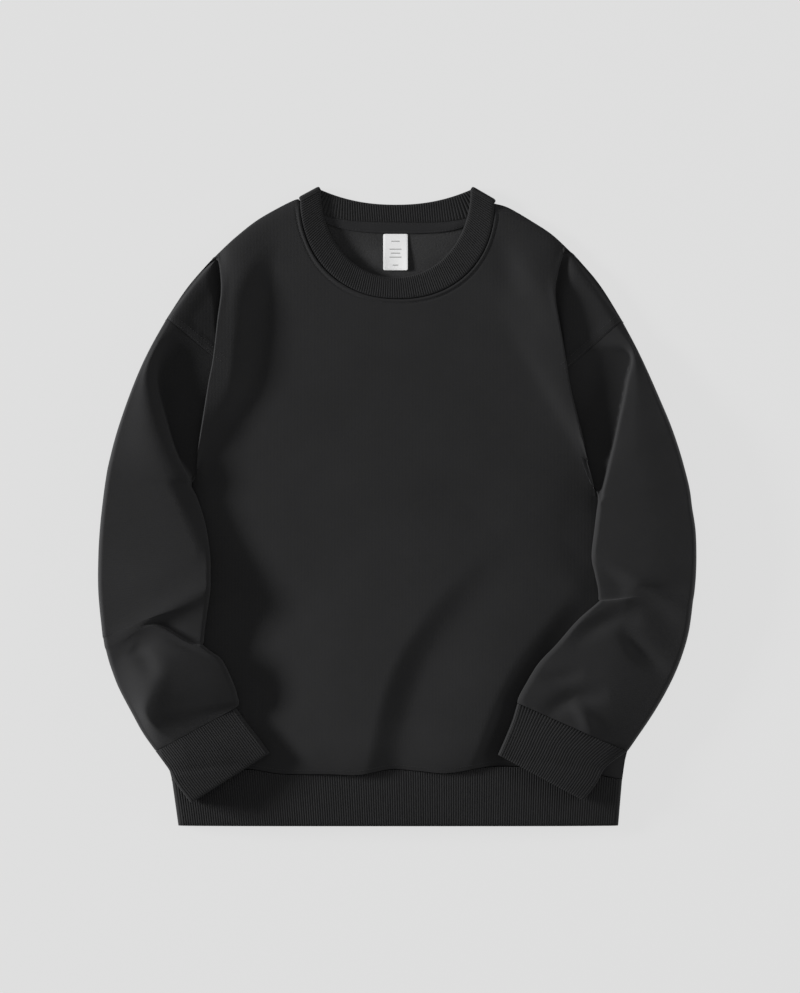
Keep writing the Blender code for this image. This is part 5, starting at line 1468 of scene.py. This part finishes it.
def make_table():
    half = TABLE_SIDE / 2
    corners = [(x * half, y * half, -0.0002) for x, y in ((-1, -1), (1, -1), (1, 1), (-1, 1))]
    mesh = bpy.data.meshes.new("pale_table")
    mesh.from_pydata(corners, [], [(0, 1, 2, 3)])
    table = bpy.data.objects.new("pale_table", mesh)
    bpy.context.scene.collection.objects.link(table)
    material = bpy.data.materials.new("pale_table")
    material.use_nodes = True
    shader = material.node_tree.nodes["Principled BSDF"]
    shader.inputs["Base Color"].default_value = (TABLE_COLOUR, TABLE_COLOUR, TABLE_COLOUR, 1)
    shader.inputs["Roughness"].default_value = 1.0
    shader.inputs["Specular IOR Level"].default_value = 0.0
    shader.inputs["Emission Color"].default_value = (1, 1, 1, 1)
    shader.inputs["Emission Strength"].default_value = TABLE_GLOW
    mesh.materials.append(material)


def add_light(name, place_at, wide, long, power):
    lamp = bpy.data.lights.new(name, "AREA")
    lamp.shape = "RECTANGLE"
    lamp.size, lamp.size_y = wide, long
    lamp.energy = power
    light = bpy.data.objects.new(name, lamp)
    light.location = place_at
    direction = Vector((0, 0, 0)) - Vector(place_at)
    light.rotation_euler = direction.to_track_quat("-Z", "Y").to_euler()
    bpy.context.scene.collection.objects.link(light)


def make_studio():
    for light in LIGHTS:
        add_light(*light)
    world = bpy.data.worlds.new("pale_room")
    world.use_nodes = True
    background = world.node_tree.nodes["Background"].inputs
    background["Color"].default_value = (PALE, PALE, PALE, 1)
    background["Strength"].default_value = ROOM_LIGHT
    bpy.context.scene.world = world
    camera_data = bpy.data.cameras.new("overhead_camera")
    camera_data.lens = LENS
    camera = bpy.data.objects.new("overhead_camera", camera_data)
    camera.location = CAMERA_AT
    bpy.context.scene.collection.objects.link(camera)
    bpy.context.scene.camera = camera
    bpy.context.scene.view_settings.view_transform = "Standard"


# ---------------------------------------------------------------- the garment


DASHES = ((0.2, 9.0), (0.42, 13.0), (0.53, 10.0), (0.64, 13.0), (0.86, 6.0))  # share down, and width
DASH_SECTION = ((0.45, 0.02), (0.3, 0.14), (-0.3, 0.14), (-0.45, 0.02))
DASH_RINGS = 7


def make_label_marks(material):
    """Short plain dashes woven on the label."""
    points, faces = [], []
    for down, wide in DASHES:
        across = np.linspace(-1, 1, DASH_RINGS) * wide / LABEL_WIDE
        faces += bar_faces(len(points), DASH_RINGS, len(DASH_SECTION))
        for spot in label_surface(across, np.full(DASH_RINGS, down)):
            points += [spot + (0, y, z) for y, z in DASH_SECTION]
    return build_mesh("label_dashes", points, faces, plan_places(points, faces), material, 80)


def make_garment(finish):
    front = make_front(finish["fleece"])
    back = make_back(finish["inside"], back_outline())
    sleeve_right = make_sleeve("sleeve_right_fleece", SLEEVE_RIGHT, SLEEVE_FOLDS_RIGHT, finish["fleece"])
    sleeve_left = make_sleeve("sleeve_left_fleece", SLEEVE_LEFT, SLEEVE_FOLDS_LEFT, finish["fleece"])
    cuff_right = make_cuff("cuff_right_rib", CUFF_RIGHT, SLEEVE_RIGHT, finish["rib"])
    cuff_left = make_cuff("cuff_left_rib", CUFF_LEFT, SLEEVE_LEFT, finish["rib"])
    hem = make_hem(finish["rib"])
    collar = make_collar(finish["rib"])
    tape = make_tape(finish["tape"])
    label = make_label(finish["label"])
    marks = make_label_marks(finish["marks"])

    hem_line = path(HEM_SEAM, evenly(SEWING_STEPS))[6:-6]
    neck_line = neck_seam(np.linspace(0.01, 0.99, SEWING_STEPS))
    sewing = {
        "neck_stitching": [beside(neck_line, -SEAM_STITCHES)],
        "hem_stitching": [hem_line + (0, SEAM_STITCHES)],
        "armhole_stitching_right": [beside(cap_seam(SLEEVE_RIGHT), reach) for reach in BAND_STITCHES],
        "armhole_stitching_left": [beside(cap_seam(SLEEVE_LEFT), -reach) for reach in BAND_STITCHES],
    }
    front_height = surface_of(front)
    front_threads = [stitches(name, lines, front_height, finish["thread"]) for name, lines in sewing.items()]
    allowances = [
        seam_allowance(name, line, section, finish["fleece"])
        for name, line, section in (
            ("armhole_allowance_right", cap_seam(SLEEVE_RIGHT), FLAT_TURN),
            ("armhole_allowance_left", cap_seam(SLEEVE_LEFT), FLAT_TURN),
            ("hem_allowance", HEM_SEAM, HEM_TURN),
        )
    ]
    upper, lower = tape_lines(SEAM_STEPS)
    tape_rows = [lower[3:-3] + (0, TAPE_STITCH_IN), upper[3:-3] - (0, TAPE_STITCH_IN)]
    tape_thread = stitches("tape_stitching", tape_rows, surface_of(tape), finish["thread"])

    def declare(piece, nodes):
        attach(piece, "root")
        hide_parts(*nodes.split())

    for thread in [*front_threads, tape_thread, *allowances]:
        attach(thread, "root")
    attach(marks, "root")
    declare(front, "front_panel")
    declare(back, "back_panel")
    for sleeve, nodes, area in (
        (sleeve_right, "sleeve_right forearm_right", 0.105),
        (sleeve_left, "sleeve_left forearm_left", 0.108),
    ):
        declare(sleeve, nodes)
    declare(cuff_right, "cuff_right")
    declare(cuff_left, "cuff_left")
    declare(hem, "hem_band")
    declare(collar, "collar")
    declare(tape, "neck_tape")
    declare(label, "neck_label")


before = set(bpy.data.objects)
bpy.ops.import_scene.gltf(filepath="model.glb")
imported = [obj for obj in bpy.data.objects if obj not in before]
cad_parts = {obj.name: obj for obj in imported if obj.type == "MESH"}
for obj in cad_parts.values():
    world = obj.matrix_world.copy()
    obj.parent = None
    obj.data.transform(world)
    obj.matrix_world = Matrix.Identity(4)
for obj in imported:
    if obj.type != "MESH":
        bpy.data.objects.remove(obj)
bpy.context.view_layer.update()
make_garment(make_materials())
make_table()
make_studio()
